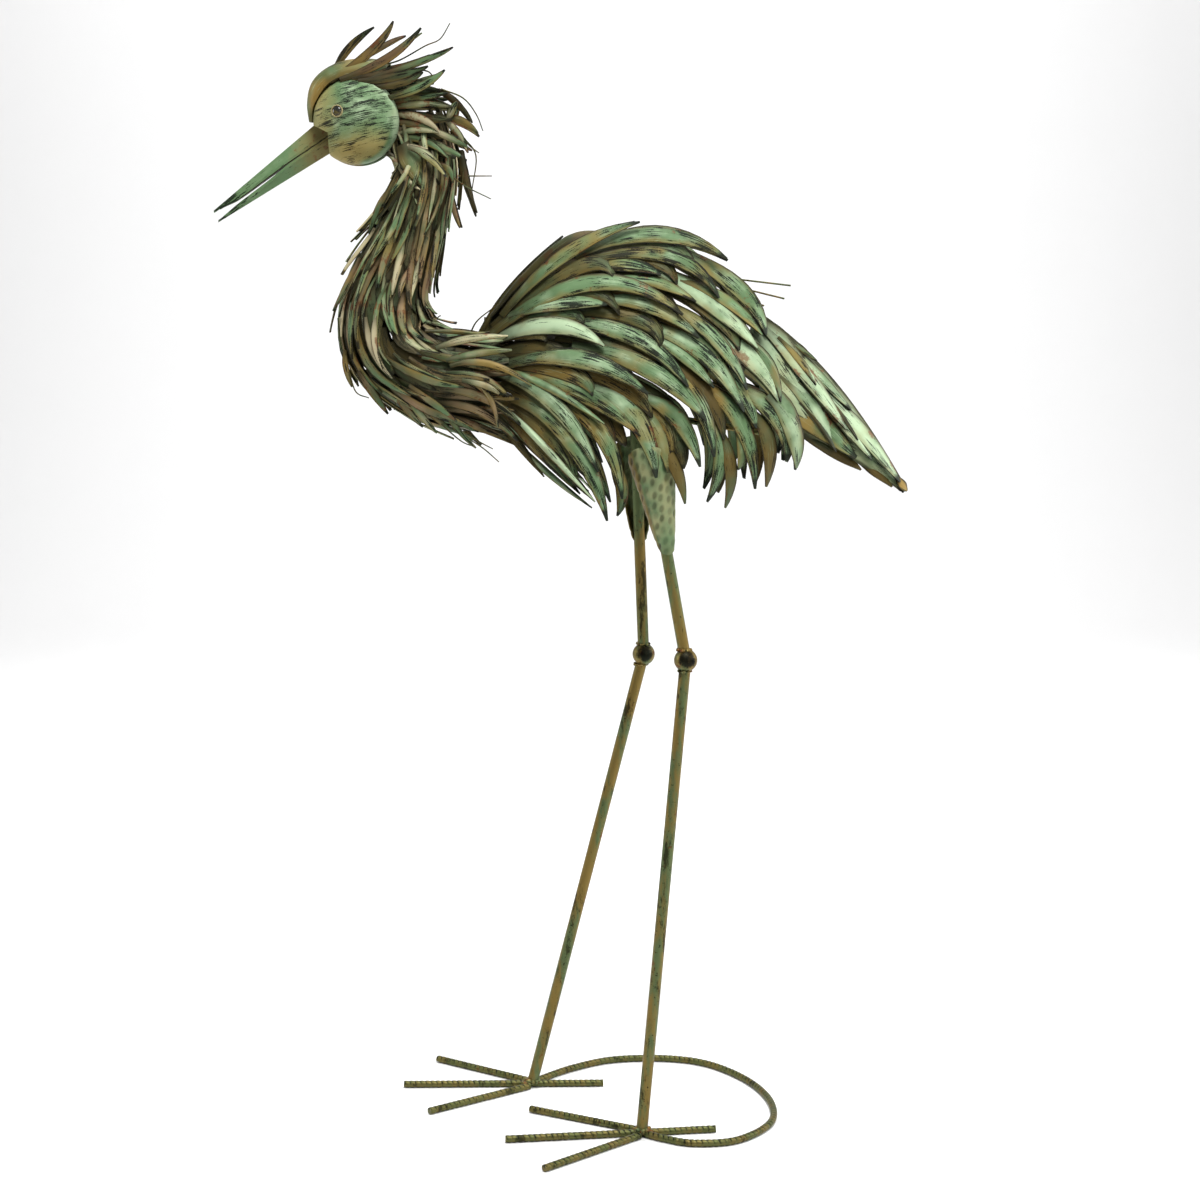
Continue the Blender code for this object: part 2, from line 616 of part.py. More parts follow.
def build_collar(shop, line, number):
    """One fringed collar: a comb of leaf feathers rolled round the neck."""
    spacing = line.spacing
    start = number * spacing
    turn = 2.0 * math.pi / COLLAR_FINGERS
    phase = 0.5 * (number % 2) * turn
    angles = [phase + COLLAR_SEAM / 2.0 + (2.0 * math.pi - COLLAR_SEAM) * i / COLLAR_FINGERS
              for i in range(COLLAR_FINGERS + 1)]
    _, _, tall, broad = line.at(start)
    girth = (tall + broad) / 2.0
    roots = [Vector((angle * girth, start + spacing * COLLAR_BAND)) for angle in angles]
    band = [Vector((angle * girth, start)) for angle in angles]
    tips = []
    for index in range(COLLAR_FINGERS):
        middle = (angles[index] + angles[index + 1]) / 2.0
        reach = 0.93 + 0.07 * math.sin(2.4 * index + 1.7 * number)
        if number == COLLARS - 1:
            reach *= 1.0 - 0.25 * max(math.cos(middle), 0.0)
        tips.append(Vector((middle * girth, start + 2.0 * spacing * reach)))
    widest = 0.92 * turn * girth
    comb = flat_comb(roots, band, tips, [0.0] * len(tips), widest, COLLAR_SHEET, (0.0, 0.5, 1.0))
    for vert in comb.verts:
        around, length, depth = vert.co
        if abs(length - start - spacing) < 0.3 * spacing:
            # The leaves bend exactly over the ring where the next collar starts.
            length = start + spacing
        lift = COLLAR_PITCH * (length - start) / spacing + depth - COLLAR_SHEET
        vert.co = line.around(length, around / girth, lift)
    shop.solid(f"neck_collar_{number + 1:02d}", comb, "fringe_tan", 30)


def build_neck(shop):
    line = NeckLine()
    for number in range(COLLARS):
        build_collar(shop, line, number)


# Body

def body_half_width(x, z):
    """Half width of the body at a place seen from the side."""
    top, bottom, half, ridge = station(BODY, x)
    drop = min(max((top - z) / (top - bottom), 0.0), 1.05)
    return ridge + (half - ridge) * math.sin(0.64 * math.pi * drop)


def quadratic(points, share):
    start, middle, end = (Vector(point) for point in points)
    guide = 2.0 * middle - (start + end) / 2.0
    return start * (1 - share) ** 2 + guide * 2 * share * (1 - share) + end * share ** 2


def bulge(shape, side, layer, tucked_from=None):
    """Bends a flat sheet, drawn as seen from the side, to a layer of the body.

    A row of feathers is tucked in by one layer at its roots, which start at tucked_from.
    """
    outward = 1.0 if side == "far" else -1.0
    for vert in shape.verts:
        x, z, depth = vert.co
        parting = ease((x - LAYERS_PART_FROM) / (LAYERS_PART_TO - LAYERS_PART_FROM))
        tuck = 0.0 if tucked_from is None else 1.0 - ease((x - tucked_from) / ROOT_TUCK)
        y = body_half_width(x, z) + (layer - tuck) * WING_PITCH * parting + depth - SHEET
        vert.co = Vector((x, outward * y, z))


def build_row(shop, name, side, layer, root_line, tip_line, bow, reach, width):
    """A row of feathers cut from one sheet and bulged to the body."""
    count = len(reach)
    first, last = Vector(root_line[0]), Vector(root_line[1])
    roots = [first.lerp(last, index / count) for index in range(count + 1)]
    tips, bows = [], []
    for index in range(count):
        share = index / max(count - 1, 1)
        root = (roots[index] + roots[index + 1]) / 2.0
        tips.append(root + (quadratic(tip_line, share) - root) * reach[index])
        bows.append(bow[0] + (bow[1] - bow[0]) * share)
    forward = Vector((-ROOT_BAND, 0.0))
    band = [root + forward for root in roots]
    comb = flat_comb(roots, band, tips, bows, width, SHEET, (0.0, 0.24, 0.5, 0.78, 1.0))
    bulge(comb, side, layer, band[0].x)
    shop.solid(name, comb, "verdigris", 30)


def build_tail_plate(shop, name, side, layer, upper, lower, tip, bow):
    """A long pointed plate, folded along lines that run to its tip."""
    plate = bmesh.new()
    bmesh.ops.create_grid(plate, x_segments=TAIL_FOLDS + 2, y_segments=TAIL_FOLDS, size=0.5)
    upper, lower, tip = Vector(upper), Vector(lower), Vector(tip)
    if side == "far":
        lower.y -= TAIL_FAR_DROP
    ridge = tip - upper
    crown = (upper + tip) / 2.0 + Vector((-ridge.y, ridge.x)) * bow
    blunt = Vector((0.0, TIP_WIDTH / 2.0))
    for vert in plate.verts:
        along, across = vert.co.x + 0.5, vert.co.y + 0.5
        top = quadratic((upper, crown, tip + blunt), along)
        edge = lower.lerp(tip - blunt, along)
        vert.co = Vector((*top.lerp(edge, across), 0.0))
    grown = bmesh.ops.extrude_face_region(plate, geom=plate.faces[:])
    raised = [item for item in grown["geom"] if isinstance(item, bmesh.types.BMVert)]
    bmesh.ops.translate(plate, verts=raised, vec=(0, 0, SHEET))
    bulge(plate, side, layer)
    shop.solid(name, plate, "verdigris", 30)


def build_saddle(shop):
    """The arched strip that closes the back between the wings."""
    strip = bmesh.new()
    bmesh.ops.create_grid(strip, x_segments=8, y_segments=4, size=0.5)
    for vert in strip.verts:
        x = SADDLE_FROM + (SADDLE_TO - SADDLE_FROM) * (vert.co.x + 0.5)
        top, _, _, ridge = station(BODY, x)
        across = 2.0 * vert.co.y
        taper = math.sin(math.pi * (0.12 + 0.76 * (vert.co.x + 0.5)))
        height = top + 2.5 + SADDLE_RISE * taper * (1.0 - across ** 2)
        vert.co = Vector((x, across * (ridge + 2.0), height))
    body = shop.solid("back_saddle", strip, "dark_patina", 40)
    add_thickness(body, SHEET, 0.0)


# Frame

def spine_height(x):
    top, bottom, _, _ = station(BODY, x)
    return top - min(SPINE_DEPTH, 0.6 * (top - bottom))


def build_frame(shop):
    hip_reach = body_half_width(HIP_X["near"], HIP_HEIGHT) - SHEET - GAP - 1.0
    hip_x = (HIP_X["far"] + HIP_X["near"]) / 2.0
    bar = bar_between((hip_x, -hip_reach, HIP_HEIGHT), (hip_x, hip_reach, HIP_HEIGHT),
                      HIP_BAR_RADIUS, BAR_SIDES)
    shop.solid("hip_bar", bar, "ochre_green")
    rest = HIP_HEIGHT + HIP_BAR_RADIUS + FRAME_RADIUS + GAP
    slope = -0.16
    ends = [(x, rest + slope * (x - hip_x)) for x in (FRAME_FRONT, FRAME_REAR)]
    for side, sign in (("near", -1.0), ("far", 1.0)):
        rail = bar_between((ends[0][0], sign * FRAME_SIDE, ends[0][1]),
                           (ends[1][0], sign * FRAME_SIDE, ends[1][1]), FRAME_RADIUS, BAR_SIDES)
        shop.solid(f"{side}_frame_rail", rail, "ochre_green")
    span = SPINE_REAR - SPINE_FRONT
    stations = [SPINE_FRONT + span * index / SPINE_STEPS for index in range(SPINE_STEPS + 1)]
    stops = [(x, 0.0, spine_height(x)) for x in stations]
    wire_piece(shop, "spine_rod", smooth_route(stops, 1), SPINE_RADIUS, "ochre_green")
    for number, (start, end, y) in enumerate(BACK_WIRES, 1):
        wire = bar_between((start[0], y, start[1]), (end[0], y, end[1]), WIRE_RADIUS, 6)
        shop.solid(f"back_wire_{number}", wire, "ochre_green")


def stand_on_origin(heron):
    """Moves the figure so that the origin is the bottom centre of its box."""
    bpy.context.view_layer.update()
    depsgraph = bpy.context.evaluated_depsgraph_get()
    low, high = Vector((math.inf,) * 3), Vector((-math.inf,) * 3)
    for body in heron.children:
        if body.hide_render:
            continue
        shape = body.evaluated_get(depsgraph)
        mesh = shape.to_mesh()
        for vert in mesh.vertices:
            place = shape.matrix_world @ vert.co
            low = Vector(map(min, low, place))
            high = Vector(map(max, high, place))
        shape.to_mesh_clear()
    heron.location = (-(low.x + high.x) / 2.0, -(low.y + high.y) / 2.0, -low.z)


def main():
    clear_scene()
    shop = Workshop()
    cutter = cheek_cutter(shop)
    build_loop(shop)
    for half in ("upper", "lower"):
        build_beak(shop, half)
    build_crest_cap(shop)
    for side in ("near", "far"):
        build_foot(shop, side)
        build_leg(shop, side)
        build_thigh_plate(shop, side)
        build_cheek(shop, side, cutter)
        build_eye(shop, side)
        build_crest_fan(shop, side)
        build_nape_fan(shop, side)
        for row, layer, root_line, tip_line, bow, reach in WING_ROWS:
            build_row(shop, f"{side}_wing_{row}_row", side, layer, root_line, tip_line, bow,
                      reach, FEATHER_WIDTH)
        for plate, layer, upper, lower, tip, bow in TAIL_PLATES:
            build_tail_plate(shop, f"{side}_tail_{plate}", side, layer, upper, lower, tip, bow)
    build_neck(shop)
    build_saddle(shop)
    build_frame(shop)
    stand_on_origin(shop.heron)


main()
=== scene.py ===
# %% [markdown]
# A garden heron welded from cut sheet steel, in cells.
#
# The solids of the bird come first: they fix its size, its pose and what each piece is
# called. Every cell after that makes one group of pieces look like the real thing, which
# is thin sheet, cut, bent and hammered, under a worn green and ochre patina.

# %% Load the solids
import math
import random

import bmesh
import bpy
from mathutils import Matrix, Vector, noise


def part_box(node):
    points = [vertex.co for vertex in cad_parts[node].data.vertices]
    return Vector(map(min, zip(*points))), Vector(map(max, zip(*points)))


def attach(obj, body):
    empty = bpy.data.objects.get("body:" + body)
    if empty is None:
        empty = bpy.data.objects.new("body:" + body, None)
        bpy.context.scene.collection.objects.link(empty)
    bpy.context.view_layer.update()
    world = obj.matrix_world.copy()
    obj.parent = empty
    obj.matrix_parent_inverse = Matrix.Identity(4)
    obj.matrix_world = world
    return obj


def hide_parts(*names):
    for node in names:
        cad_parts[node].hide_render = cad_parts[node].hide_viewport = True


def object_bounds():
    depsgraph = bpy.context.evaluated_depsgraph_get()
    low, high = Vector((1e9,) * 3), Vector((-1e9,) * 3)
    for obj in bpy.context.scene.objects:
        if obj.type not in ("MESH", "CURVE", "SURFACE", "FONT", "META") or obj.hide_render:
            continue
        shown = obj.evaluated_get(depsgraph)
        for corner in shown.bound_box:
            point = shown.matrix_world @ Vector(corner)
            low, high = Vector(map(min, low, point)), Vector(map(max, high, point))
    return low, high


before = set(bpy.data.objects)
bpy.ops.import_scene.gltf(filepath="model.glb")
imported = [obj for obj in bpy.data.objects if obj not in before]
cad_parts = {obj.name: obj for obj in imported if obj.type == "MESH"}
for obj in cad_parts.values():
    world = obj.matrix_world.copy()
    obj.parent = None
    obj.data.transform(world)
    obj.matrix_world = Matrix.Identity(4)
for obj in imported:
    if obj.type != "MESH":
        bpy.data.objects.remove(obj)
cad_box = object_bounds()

print("solids:", len(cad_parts), "box:", [tuple(round(v, 4) for v in c) for c in cad_box])

# %% [markdown]
# The bird was drawn in millimetres round its own middle plane. The spine rod lies on that
# plane and the beak's tip is the front of the whole figure, so these two say where the
# drawing's origin is in the row. Sizes below are all in millimetres.

# %% Millimetres of the bird
MM = 0.001
BEAK_TIP_X = -299.9
spine_low, spine_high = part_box("spine_rod")
HOME = Vector((cad_box[0].x / MM - BEAK_TIP_X, (spine_low.y + spine_high.y) / 2.0 / MM, 0.0))
print("bird's own origin:", tuple(round(v, 2) for v in HOME))

# %% [markdown]
# The camera stands where the photographer stood: about 1.75 m away, a little above the
# middle of the bird, looking 8 degrees down with a 61 mm lens. The same numbers also turn
# a spot of the picture into a place on the bird, which is how the feathers are laid out.

# %% Camera
LENS = 61.0
SENSOR = 36.0
PICTURE = 1200.0
LOOK_DOWN = math.radians(8.2)
CAMERA_PLACE = Vector((27.0, -1750.0, 714.0))

camera_data = bpy.data.cameras.new("camera")
camera_data.lens = LENS
camera_data.sensor_width = SENSOR
camera = bpy.data.objects.new("camera", camera_data)
camera.location = (CAMERA_PLACE + HOME) * MM
camera.rotation_euler = (math.pi / 2.0 - LOOK_DOWN, 0.0, 0.0)
bpy.context.scene.collection.objects.link(camera)
bpy.context.scene.camera = camera

FOCUS = LENS / SENSOR * PICTURE
FORWARD = Vector((0.0, math.cos(LOOK_DOWN), -math.sin(LOOK_DOWN)))
UPWARD = Vector((0.0, math.sin(LOOK_DOWN), math.cos(LOOK_DOWN)))


def from_picture(x, y, depth):
    """The place that a spot of the picture shows, where the bird is cut at Y = depth."""
    ray = FORWARD * FOCUS + Vector((1.0, 0.0, 0.0)) * (x - PICTURE / 2.0)
    ray += UPWARD * (PICTURE / 2.0 - y)
    return CAMERA_PLACE + ray * ((depth - CAMERA_PLACE.y) / ray.y)


print("the eye is at", from_picture(339, 113, -25.0))

# %% [markdown]
# A finish is easier to read as sums than as a web of nodes. The class below wraps one
# socket, so that `1 - mask` or `spots * 0.5` add their own Math nodes.

# %% Sums on sockets
DULL = 0.14
BUMP_STRENGTH = 0.6


class Flow:
    """The output of a node, with the signs of arithmetic."""

    def __init__(self, finish, socket):
        self.finish = finish
        self.socket = socket

    def maths(self, operation, first, second, clamp=False):
        values = {0: first, 1: second}
        return self.finish.node("ShaderNodeMath", {"operation": operation, "use_clamp": clamp},
                                values)

    def __add__(self, other):
        return self.maths("ADD", self, other)

    def __radd__(self, other):
        return self.maths("ADD", other, self)

    def __sub__(self, other):
        return self.maths("SUBTRACT", self, other)

    def __rsub__(self, other):
        return self.maths("SUBTRACT", other, self)

    def __mul__(self, other):
        return self.maths("MULTIPLY", self, other)

    def size(self):
        return self.maths("ABSOLUTE", self, 0.0)

    def higher(self, other):
        return self.maths("MAXIMUM", self, other)

    def between(self, low, high):
        """0 below low, 1 above high, and a soft step from one to the other."""
        settings = {"interpolation_type": "SMOOTHSTEP"}
        return self.finish.node("ShaderNodeMapRange", settings,
                                {"Value": self, "From Min": low, "From Max": high})


class Finish:
    """A material, and one method that adds any node to it."""

    def __init__(self, name, roughness=0.5, metallic=0.0):
        self.material = bpy.data.materials.new(name)
        self.material.use_nodes = True
        self.tree = self.material.node_tree
        self.shader = self.tree.nodes["Principled BSDF"]
        self.shader.inputs["Metallic"].default_value = metallic
        self.shader.inputs["Roughness"].default_value = roughness
        self.shader.inputs["Specular IOR Level"].default_value = DULL

    def join(self, value, target):
        if isinstance(value, Flow):
            self.tree.links.new(value.socket, target)
        elif target.type == "RGBA" and len(value) == 3:
            target.default_value = (*value, 1.0)
        else:
            target.default_value = value

    def node(self, kind, settings=None, values=None, output=0):
        added = self.tree.nodes.new(kind)
        for name, setting in (settings or {}).items():
            setattr(added, name, setting)
        for name, value in (values or {}).items():
            self.join(value, added.inputs[name])
        return Flow(self, added.outputs[output])

    def mix(self, under, over, share):
        """One colour over another."""
        return self.node("ShaderNodeMix", {"data_type": "RGBA"}, {0: share, 6: under, 7: over}, 2)

    def noise(self, place, scale, detail=3.0, roughness=0.5):
        return self.node("ShaderNodeTexNoise", {}, {"Vector": place, "Scale": scale,
                                                    "Detail": detail, "Roughness": roughness})

    def stretch(self, place, scale):
        return self.node("ShaderNodeVectorMath", {"operation": "MULTIPLY"}, {0: place, 1: scale})

    def parts(self, vector):
        """The three numbers of a vector."""
        split = self.node("ShaderNodeSeparateXYZ", {}, {0: vector})
        return [Flow(self, split.socket.node.outputs[index]) for index in range(3)]

    def wear(self, colour, roughness, height, distance):
        """Joins colour, roughness and relief to the shader."""
        bump = self.node("ShaderNodeBump", {}, {"Height": height, "Strength": BUMP_STRENGTH,
                                                "Distance": distance})
        self.join(colour, self.shader.inputs["Base Color"])
        self.join(roughness, self.shader.inputs["Roughness"])
        self.join(bump, self.shader.inputs["Normal"])


print("a finish is ready to be mixed")

# %% [markdown]
# The patina: a thin verdigris green brushed over ochre, a pale bloom where it lies thick,
# black dry-brushed streaks that run with each feather and gather at its tip, dark cut
# edges, and rust where the brush missed. Painted shade darkens each feather towards its
# root and along its upper edge, where other feathers lie over it. Each feather carries two
# small vectors: where a spot lies on it (across, along), and its own tint (green or pale,
# how streaked, how dark: painted shade for feathers that lie under others, darker paint
# on some). The streaks follow a map of the flat sheet in centimetres, so they run along
# the feather.

# %% Colours of the patina
GREEN = (0.105, 0.180, 0.082)
DEEP_GREEN = (0.040, 0.068, 0.026)
PALE = (0.355, 0.460, 0.290)
OCHRE = (0.220, 0.145, 0.036)
TAN = (0.260, 0.172, 0.090)
OLIVE = (0.016, 0.015, 0.005)
BLACK = (0.003, 0.004, 0.003)
RUST = (0.130, 0.032, 0.010)
CREAM = (0.450, 0.385, 0.240)
BROWN = (0.070, 0.045, 0.018)
STRAW = (0.290, 0.235, 0.080)
DARK_TAN = (0.110, 0.065, 0.030)
UMBER = (0.130, 0.085, 0.040)


def feather_finish(name, ground, bloom, streak_gain, rust_from, patchy=1.0, fine=1.0):
    """Patina for cut feathers: ground shows at the root, bloom on the thick of the blade."""
    finish = Finish(name, metallic=0.1)
    spot = finish.node("ShaderNodeTexCoord", output=3)
    flat = finish.node("ShaderNodeUVMap", {"uv_map": "sheet"})
    across, along, _ = finish.parts(
        finish.node("ShaderNodeAttribute", {"attribute_name": "place"}, output=1))
    tone, streaked, shade = finish.parts(
        finish.node("ShaderNodeAttribute", {"attribute_name": "tint"}, output=1))
    patches = finish.noise(spot, 22.0, 3.0, 0.5)
    clouds = finish.noise(spot, 55.0, 3.0, 0.5)
    grain = finish.noise(spot, 900.0, 2.0, 0.7)
    green = ((patches - 0.5) * 1.5 * patchy + along * 0.3 + tone * 0.8).between(0.15, 0.55)
    colour = finish.mix(ground, GREEN, green)
    thick = (clouds * 1.1 + tone - 0.52 - across.size() * 0.2).between(0.35, 1.05)
    colour = finish.mix(colour, bloom, thick * 0.9)
    hollow = (finish.noise(spot, 30.0, 3.0, 0.5) - tone * 0.2).between(0.38, 0.62)
    colour = finish.mix(colour, DEEP_GREEN, hollow * 0.65 * patchy)
    lower_side = (across + (clouds - 0.5) * 0.9).between(0.15, 0.95)
    colour = finish.mix(colour, OCHRE, lower_side * (0.75 - tone * 0.4))
    glow = (finish.noise(spot, 26.0, 2.0, 0.5) - tone * 0.08).between(0.50, 0.64)
    colour = finish.mix(colour, OCHRE, glow * (0.85 - tone * 0.5) * patchy)
    # Painted shade along the upper edge of each feather, where it lies under the feather before
    # it.
    underlap_shade = (clouds * 0.5 - across).between(0.75, 1.25)
    colour = finish.mix(colour, BROWN, underlap_shade * 0.8)
    rusty = (finish.noise(spot, 48.0, 4.0, 0.7) + across.size() * 0.10).between(rust_from,
                                                                               rust_from + 0.08)
    colour = finish.mix(colour, RUST, rusty * 0.7)
    brush = finish.noise(finish.stretch(flat, (7.0, 0.30, 1.0)), 1.3 * fine, 4.0, 0.65)
    dabs = finish.noise(finish.stretch(flat, (1.1, 0.28, 1.0)), 1.2 * fine, 3.0, 0.5)
    reach = (along.between(0.2, 1.0) - 0.5) * 0.10 + (streaked - 0.5) * 0.20 * streak_gain
    black = (brush + (dabs - 0.5) * 0.75 + (grain - 0.5) * 0.22 + reach).between(0.550, 0.590)
    scuffs = (1.0 - brush + (clouds - 0.5) * 0.3).between(0.60, 0.68)
    edge = (across.size() + clouds * 0.16 - 0.08).between(0.84, 0.96)
    tip = (along + clouds * 0.06).between(0.95, 0.985) * streaked.between(0.08, 0.30)
    colour = finish.mix(colour, bloom, scuffs * 0.35)
    colour = finish.mix(colour, OLIVE, edge * 0.85)
    colour = finish.mix(colour, BLACK, black.higher(tip) * 0.93)
    # Painted shade on feathers that lie under others, and darker paint on some, from the third
    # number of the tint.
    colour = finish.mix(colour, OLIVE, shade * 0.9)
    # Painted shade: each feather darkens towards its root, which lies hidden under the feathers
    # over it.
    root = 1.0 - along.between(0.0, 0.42)
    colour = finish.mix(colour, OLIVE, root * 0.75)
    roughness = 0.38 + grain * 0.2 + black * 0.12
    finish.wear(colour, roughness, grain * 0.4 + black * 0.5 + brush * 0.6, 0.0006)
    return finish.material


WING_PATINA = feather_finish("wing_patina", OCHRE, PALE, 1.0, 0.66)
NECK_PATINA = feather_finish("neck_patina", TAN, CREAM, 0.6, 0.62)
HEAD_PATINA = feather_finish("head_patina", OCHRE, PALE, 1.0, 0.62)
CHEEK_PATINA = feather_finish("cheek_patina", STRAW, PALE, 0.8, 0.66, patchy=0.4, fine=1.9)
CREST_PATINA = feather_finish("crest_patina", DARK_TAN, TAN, 0.8, 0.60)
NAPE_PATINA = feather_finish("nape_patina", UMBER, CREAM, 0.8, 0.58)
print("feather finishes:", WING_PATINA.name, NECK_PATINA.name, HEAD_PATINA.name)

# %% [markdown]
# Tube, bar and wire carry the same paint, but no feather's map: there the patches follow
# the metal's own place. The ribbed bars hold dark paint between their ribs, and rust sits
# where they were welded.

# %% Finish of tubes and bars
def metal_finish(name, ground, over, cover, dark, rust):
    """Patina for tube, bar and wire, in patches of ground and over."""
    finish = Finish(name, metallic=0.65)
    spot = finish.node("ShaderNodeTexCoord", output=3)
    tall = finish.stretch(spot, (1.0, 1.0, 0.22))
    patches = finish.noise(tall, 60.0, 4.0, 0.65)
    clouds = finish.noise(tall, 190.0, 3.0, 0.6)
    grain = finish.noise(spot, 1100.0, 2.0, 0.7)
    greened, rusted, shade = finish.parts(
        finish.node("ShaderNodeAttribute", {"attribute_name": "tint"}, output=1))
    green = (patches + clouds * 0.25 + greened * 0.35).between(cover, cover + 0.2)
    colour = finish.mix(ground, over, green)
    stain = (finish.noise(tall, 85.0, 5.0, 0.75) + grain * 0.08).between(dark, dark + 0.08)
    colour = finish.mix(colour, OLIVE, stain * 0.85)
    fleck = (finish.noise(spot, 300.0, 3.0, 0.7) + patches * 0.3).between(0.79, 0.83)
    colour = finish.mix(colour, BLACK, fleck * 0.8)
    rusty = (finish.noise(spot, 75.0, 4.0, 0.7) + rusted * 0.22).between(rust, rust + 0.07)
    colour = finish.mix(colour, RUST, rusty * 0.7)
    # A dark wash of paint where the tint asks for it; on the knee balls it is partly a painted
    # reflection.
    dark_wash_and_reflection = (shade + (clouds - 0.5) * 0.9 + (grain - 0.5) * 0.6).between(0.25, 0.75)
    colour = finish.mix(colour, BLACK, dark_wash_and_reflection * 0.95)
    finish.wear(colour, 0.30 + grain * 0.25, grain + clouds, 0.0003)
    return finish.material


LEG_OCHRE = (0.182, 0.127, 0.036)
LEG_GREEN = (0.098, 0.130, 0.055)
BAR_OCHRE = (0.136, 0.108, 0.034)
BAR_GREEN = (0.094, 0.102, 0.035)
WIRE_OCHRE = (0.085, 0.062, 0.022)
WIRE_GREEN = (0.040, 0.048, 0.020)
LEG_PATINA = metal_finish("leg_patina", LEG_OCHRE, LEG_GREEN, 0.55, 0.58, 0.62)
BAR_PATINA = metal_finish("bar_patina", BAR_OCHRE, BAR_GREEN, 0.50, 0.58, 0.64)
WIRE_PATINA = metal_finish("wire_patina", WIRE_OCHRE, WIRE_GREEN, 0.50, 0.58, 0.66)
print("metal finishes:", LEG_PATINA.name, BAR_PATINA.name, WIRE_PATINA.name)

# %% [markdown]
# Every piece is drawn as a bmesh in millimetres. When it is done, `show` moves it home,
# gives thin sheet its thickness, hands it to the body of the row, and hides the solids that
# it stands for. The wall is made once, on the finished mesh, so what is seen is what is
# stored.

# %% From a drawing to a piece
SHEET = 0.9
SHARP = 38.0
ROUNDED = 50.0
HAMMERED = 60.0
SIDES = (("near", 1.0), ("far", -1.0))


def sheet_drawing():
    """An empty drawing that can hold what the feather finishes read."""
    drawing = bmesh.new()
    drawing.loops.layers.uv.new("sheet")
    drawing.verts.layers.float_vector.new("place")
    drawing.verts.layers.float_vector.new("tint")
    return drawing


def layers(drawing):
    """The two vectors that every point of a drawing carries for its finish."""
    vectors = drawing.verts.layers.float_vector
    return vectors["place"], vectors["tint"]


def show(name, drawing, finish, stands_for=(), sheet=0.0, sharp=SHARP):
    """Turns a drawing into a piece of the bird. Edges sharper than `sharp` stay creased."""
    bmesh.ops.translate(drawing, verts=drawing.verts, vec=HOME)
    bmesh.ops.scale(drawing, verts=drawing.verts, vec=(MM, MM, MM))
    mesh = bpy.data.meshes.new(name)
    drawing.to_mesh(mesh)
    drawing.free()
    piece = bpy.data.objects.new(name, mesh)
    bpy.context.scene.collection.objects.link(piece)
    if sheet:
        wall = piece.modifiers.new("sheet", "SOLIDIFY")
        wall.thickness = sheet * MM
        wall.offset = 0.0
        depsgraph = bpy.context.evaluated_depsgraph_get()
        made = bpy.data.meshes.new_from_object(piece.evaluated_get(depsgraph))
        piece.modifiers.clear()
        piece.data = made
        mesh = made
        mesh.name = name
    mesh.materials.clear()
    mesh.materials.append(finish)
    mesh.shade_smooth()
    mesh.set_sharp_from_angle(angle=math.radians(sharp))
    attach(piece, "root")
    if stands_for:
        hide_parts(*stands_for)
    print(f"{name}: {len(mesh.polygons)} faces")
    return piece


# %% [markdown]
# One feather is a small grid. Its long way becomes the length of the feather, its short
# way the width, and a function says where each point of the flat feather ends up. The
# outline swells from the root and runs out to a narrow, slightly blunt tip, like a blade
# cut with shears.

# %% One feather
MAP_SHIFT = (37.0, 53.0)


def ease(share):
    """A share of 0 to 1 with a soft start and end."""
    share = min(max(share, 0.0), 1.0)
    return share * share * (3.0 - 2.0 * share)


def blade(share, base=0.5, peak=0.5, tip=0.10, power=2.0):
    """Width of a feather at a share of its length, as a share of its greatest width."""
    if share < peak:
        return base + (1.0 - base) * ease(share / peak)
    fall = (share - peak) / (1.0 - peak)
    return tip + (1.0 - tip) * (1.0 - fall ** power)


def add_feather(drawing, steps, folds, place_of, length, width, tint):
    """Bends a grid into one feather and writes what its finish reads."""
    place, colour = layers(drawing)
    sheet = drawing.loops.layers.uv["sheet"]
    made = bmesh.ops.create_grid(drawing, x_segments=steps, y_segments=folds, size=0.5)["verts"]
    start = (tint[0] * MAP_SHIFT[0], tint[1] * MAP_SHIFT[1])
    for vert in made:
        share, side = vert.co.x + 0.5, vert.co.y * 2.0
        vert[place] = Vector((side, share, 0.0))
        vert[colour] = Vector(tint)
        vert.co = place_of(share, side)
    for face in {face for vert in made for face in vert.link_faces}:
        for loop in face.loops:
            side, share, _ = loop.vert[place]
            loop[sheet].uv = (start[0] + side * width / 20.0, start[1] + share * length / 10.0)


def bent_line(root, via, tip, share):
    """A point of the curve that runs from root to tip and passes via in the middle."""
    guide = 2.0 * via - (root + tip) / 2.0
    return root * (1 - share) ** 2 + guide * 2 * share * (1 - share) + tip * share ** 2


def bent_slope(root, via, tip, share):
    guide = 2.0 * via - (root + tip) / 2.0
    return ((guide - root) * (1 - share) + (tip - guide) * share).normalized()


print("width of a feather at its middle:", blade(0.5))

# %% [markdown]
# The body under the feathers is a table of stations along X: the height of the back and
# of the lowest tips, the half width, and the half width of the ridge. Between the
# stations the shape runs smoothly, as it does in the solids.

# %% Shape of the body
BODY = ((-80, 692, 612, 14, 3), (-40, 731, 587, 32, 5), (0, 764, 550, 47, 7),
        (50, 779, 532, 57, 8), (100, 771, 545, 58, 7), (150, 716, 565, 49, 5),
        (200, 678, 590, 34, 3), (245, 627, 570, 19, 1.6), (298, 552, 548, 6, 1.6))
ROW_PITCH = 3.3
ROWS_PART_FROM = -80.0
ROWS_PART_TO = -20.0
BODY_ROUNDING = 0.64
BODY_BELOW = 1.05
FIRST_DEPTH = -45.0
DEPTH_ROUNDS = 6


def spline(before, start, end, after, share):
    """A point on the smooth curve between start and end."""
    bend = 3.0 * (start - end) + after - before
    turn = 2.0 * before - 5.0 * start + 4.0 * end - after
    return start + 0.5 * share * (end - before + share * (turn + share * bend))


